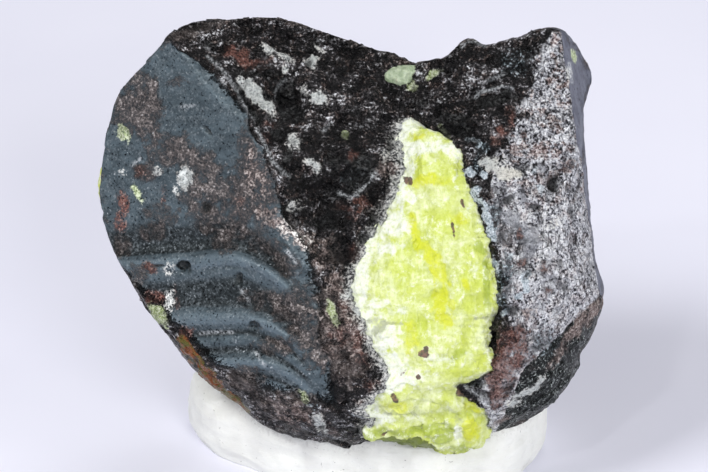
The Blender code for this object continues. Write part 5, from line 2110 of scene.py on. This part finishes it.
def aimed(name: str, data: bpy.types.ID, place: Vector, ahead: Vector) -> bpy.types.Object:
    """Stands a camera or a lamp in the scene.

    Args:
        name: its name.
        data: the camera or lamp.
        place: where it stands, in metres.
        ahead: the direction in which it looks.

    Returns:
        The object.
    """
    item = bpy.data.objects.new(name, data)
    item.location = place
    item.rotation_mode = "QUATERNION"
    item.rotation_quaternion = ahead.to_track_quat("-Z", "Y")
    bpy.context.scene.collection.objects.link(item)
    return item


@dataclass(frozen=True)
class Lamp:
    """A square soft light: its place and its side in metres, and its power in watts."""

    name: str
    place: tuple[float, float, float]
    power: float
    side: float

    def build(self, target: Vector) -> None:
        """Sets the lamp up.

        Args:
            target: the point that it faces, in metres.
        """
        data = bpy.data.lights.new(self.name, "AREA")
        data.energy = self.power
        data.size = self.side
        aimed(self.name, data, Vector(self.place), target - Vector(self.place))


@dataclass
class Studio:
    """Pale floor, soft light and the camera."""

    elevation: float = math.radians(26.0)
    distance: float = 0.9
    frame_wide: int = 708
    stone_wide: int = 505
    stone_middle: tuple[float, float] = (350.5, 235.5)
    frame_middle: tuple[float, float] = (354.0, 236.0)
    sensor: float = 36.0
    clip: tuple[float, float] = (0.01, 20.0)
    rounds: int = 5
    floor_size: float = 4.0
    floor_sides: int = 96
    floor_colour: Rgb = (241, 241, 251)
    floor_mottle: Rgb = (226, 226, 240)
    air: Shades = (0.90, 0.91, 1.0, 1.0)
    air_strength: float = 0.27
    lamp_target: tuple[float, float, float] = (0.0, 0.0, 0.028)
    lamps: tuple[Lamp, ...] = (
        Lamp("key", (-0.5, -0.45, 0.75), 5.4, 0.3), Lamp("front", (0.3, -0.95, 0.5), 5.2, 0.35),
        Lamp("fill", (0.85, -0.35, 0.3), 2.5, 0.5), Lamp("top", (0.15, 0.35, 0.9), 1.9, 0.4),
        Lamp("glint", (-0.25, -0.75, 0.75), 0.8, 0.05),
    )

    def camera(self) -> None:
        """Aims the camera along the photograph's angle of view and frames the stone as it is framed there."""
        back = Vector((0.0, -math.cos(self.elevation), math.sin(self.elevation)))
        right = Vector((1.0, 0.0, 0.0))
        up = right.cross(-back)
        nodes = [node for name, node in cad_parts.items() if name != "putty"]
        corners = [node.matrix_world @ vert.co for node in nodes for vert in node.data.vertices]
        stone_x, stone_y = self.stone_middle
        frame_x, frame_y = self.frame_middle
        aim = Vector()
        focal = 1.0
        for _ in range(self.rounds):
            spots = []
            for corner in corners:
                near = self.distance - corner.dot(back)
                spots.append(((corner - aim).dot(right) / near, (corner - aim).dot(up) / near))
            lows = [min(spot[axis] for spot in spots) for axis in range(2)]
            highs = [max(spot[axis] for spot in spots) for axis in range(2)]
            focal = self.stone_wide / (highs[0] - lows[0])
            wanted = (stone_x - frame_x, frame_y - stone_y)
            for axis, low, high, offset in zip((right, up), lows, highs, wanted):
                aim += axis * ((low + high) / 2 - offset / focal) * self.distance
        data = bpy.data.cameras.new("camera")
        data.sensor_width = self.sensor
        data.lens = self.sensor * focal / self.frame_wide
        data.clip_start, data.clip_end = self.clip
        bpy.context.scene.camera = aimed("camera", data, aim + back * self.distance, -back)

    def floor(self) -> None:
        """A wide pale floor with a trace of mottling."""
        bm = bmesh.new()
        bmesh.ops.create_circle(bm, cap_ends=True, radius=self.floor_size, segments=self.floor_sides)
        mesh = bpy.data.meshes.new("floor")
        bm.to_mesh(mesh)
        bm.free()
        g = Graph("floor")
        colour = g.mix(g.noise(60.0, 3.0), linear(self.floor_colour), linear(self.floor_mottle))
        mesh.materials.append(g.surface(Base_Color=colour, Roughness=0.9))
        floor = bpy.data.objects.new("floor", mesh)
        bpy.context.scene.collection.objects.link(floor)

    def world(self) -> None:
        """Even pale light from all round."""
        world = bpy.data.worlds.new("studio")
        world.use_nodes = True
        background = world.node_tree.nodes["Background"]
        background.inputs["Color"].default_value = self.air
        background.inputs["Strength"].default_value = self.air_strength
        bpy.context.scene.world = world

    def build(self) -> None:
        """Sets up everything that lights and shows the specimen."""
        self.camera()
        self.floor()
        self.world()
        for lamp in self.lamps:
            lamp.build(Vector(self.lamp_target))
        bpy.context.scene.view_settings.view_transform = "Standard"


def main() -> None:
    """Builds the pieces in order and reports each."""
    logging.basicConfig(level=logging.INFO, format="%(message)s")
    noise.seed_set(NOISE_SEED)
    Studio().build()
    form = StoneForm()
    rock = HostRock(form, RockFinish())
    rock.build()
    lizardite = LizarditeFinish().material()
    FrontVein(form, lizardite).build()
    Nugget(form, lizardite).build()
    ShoulderBand(form, lizardite).build()
    PuttyPad(rock, PuttyFinish()).build()


if __name__ == "__main__":
    main()
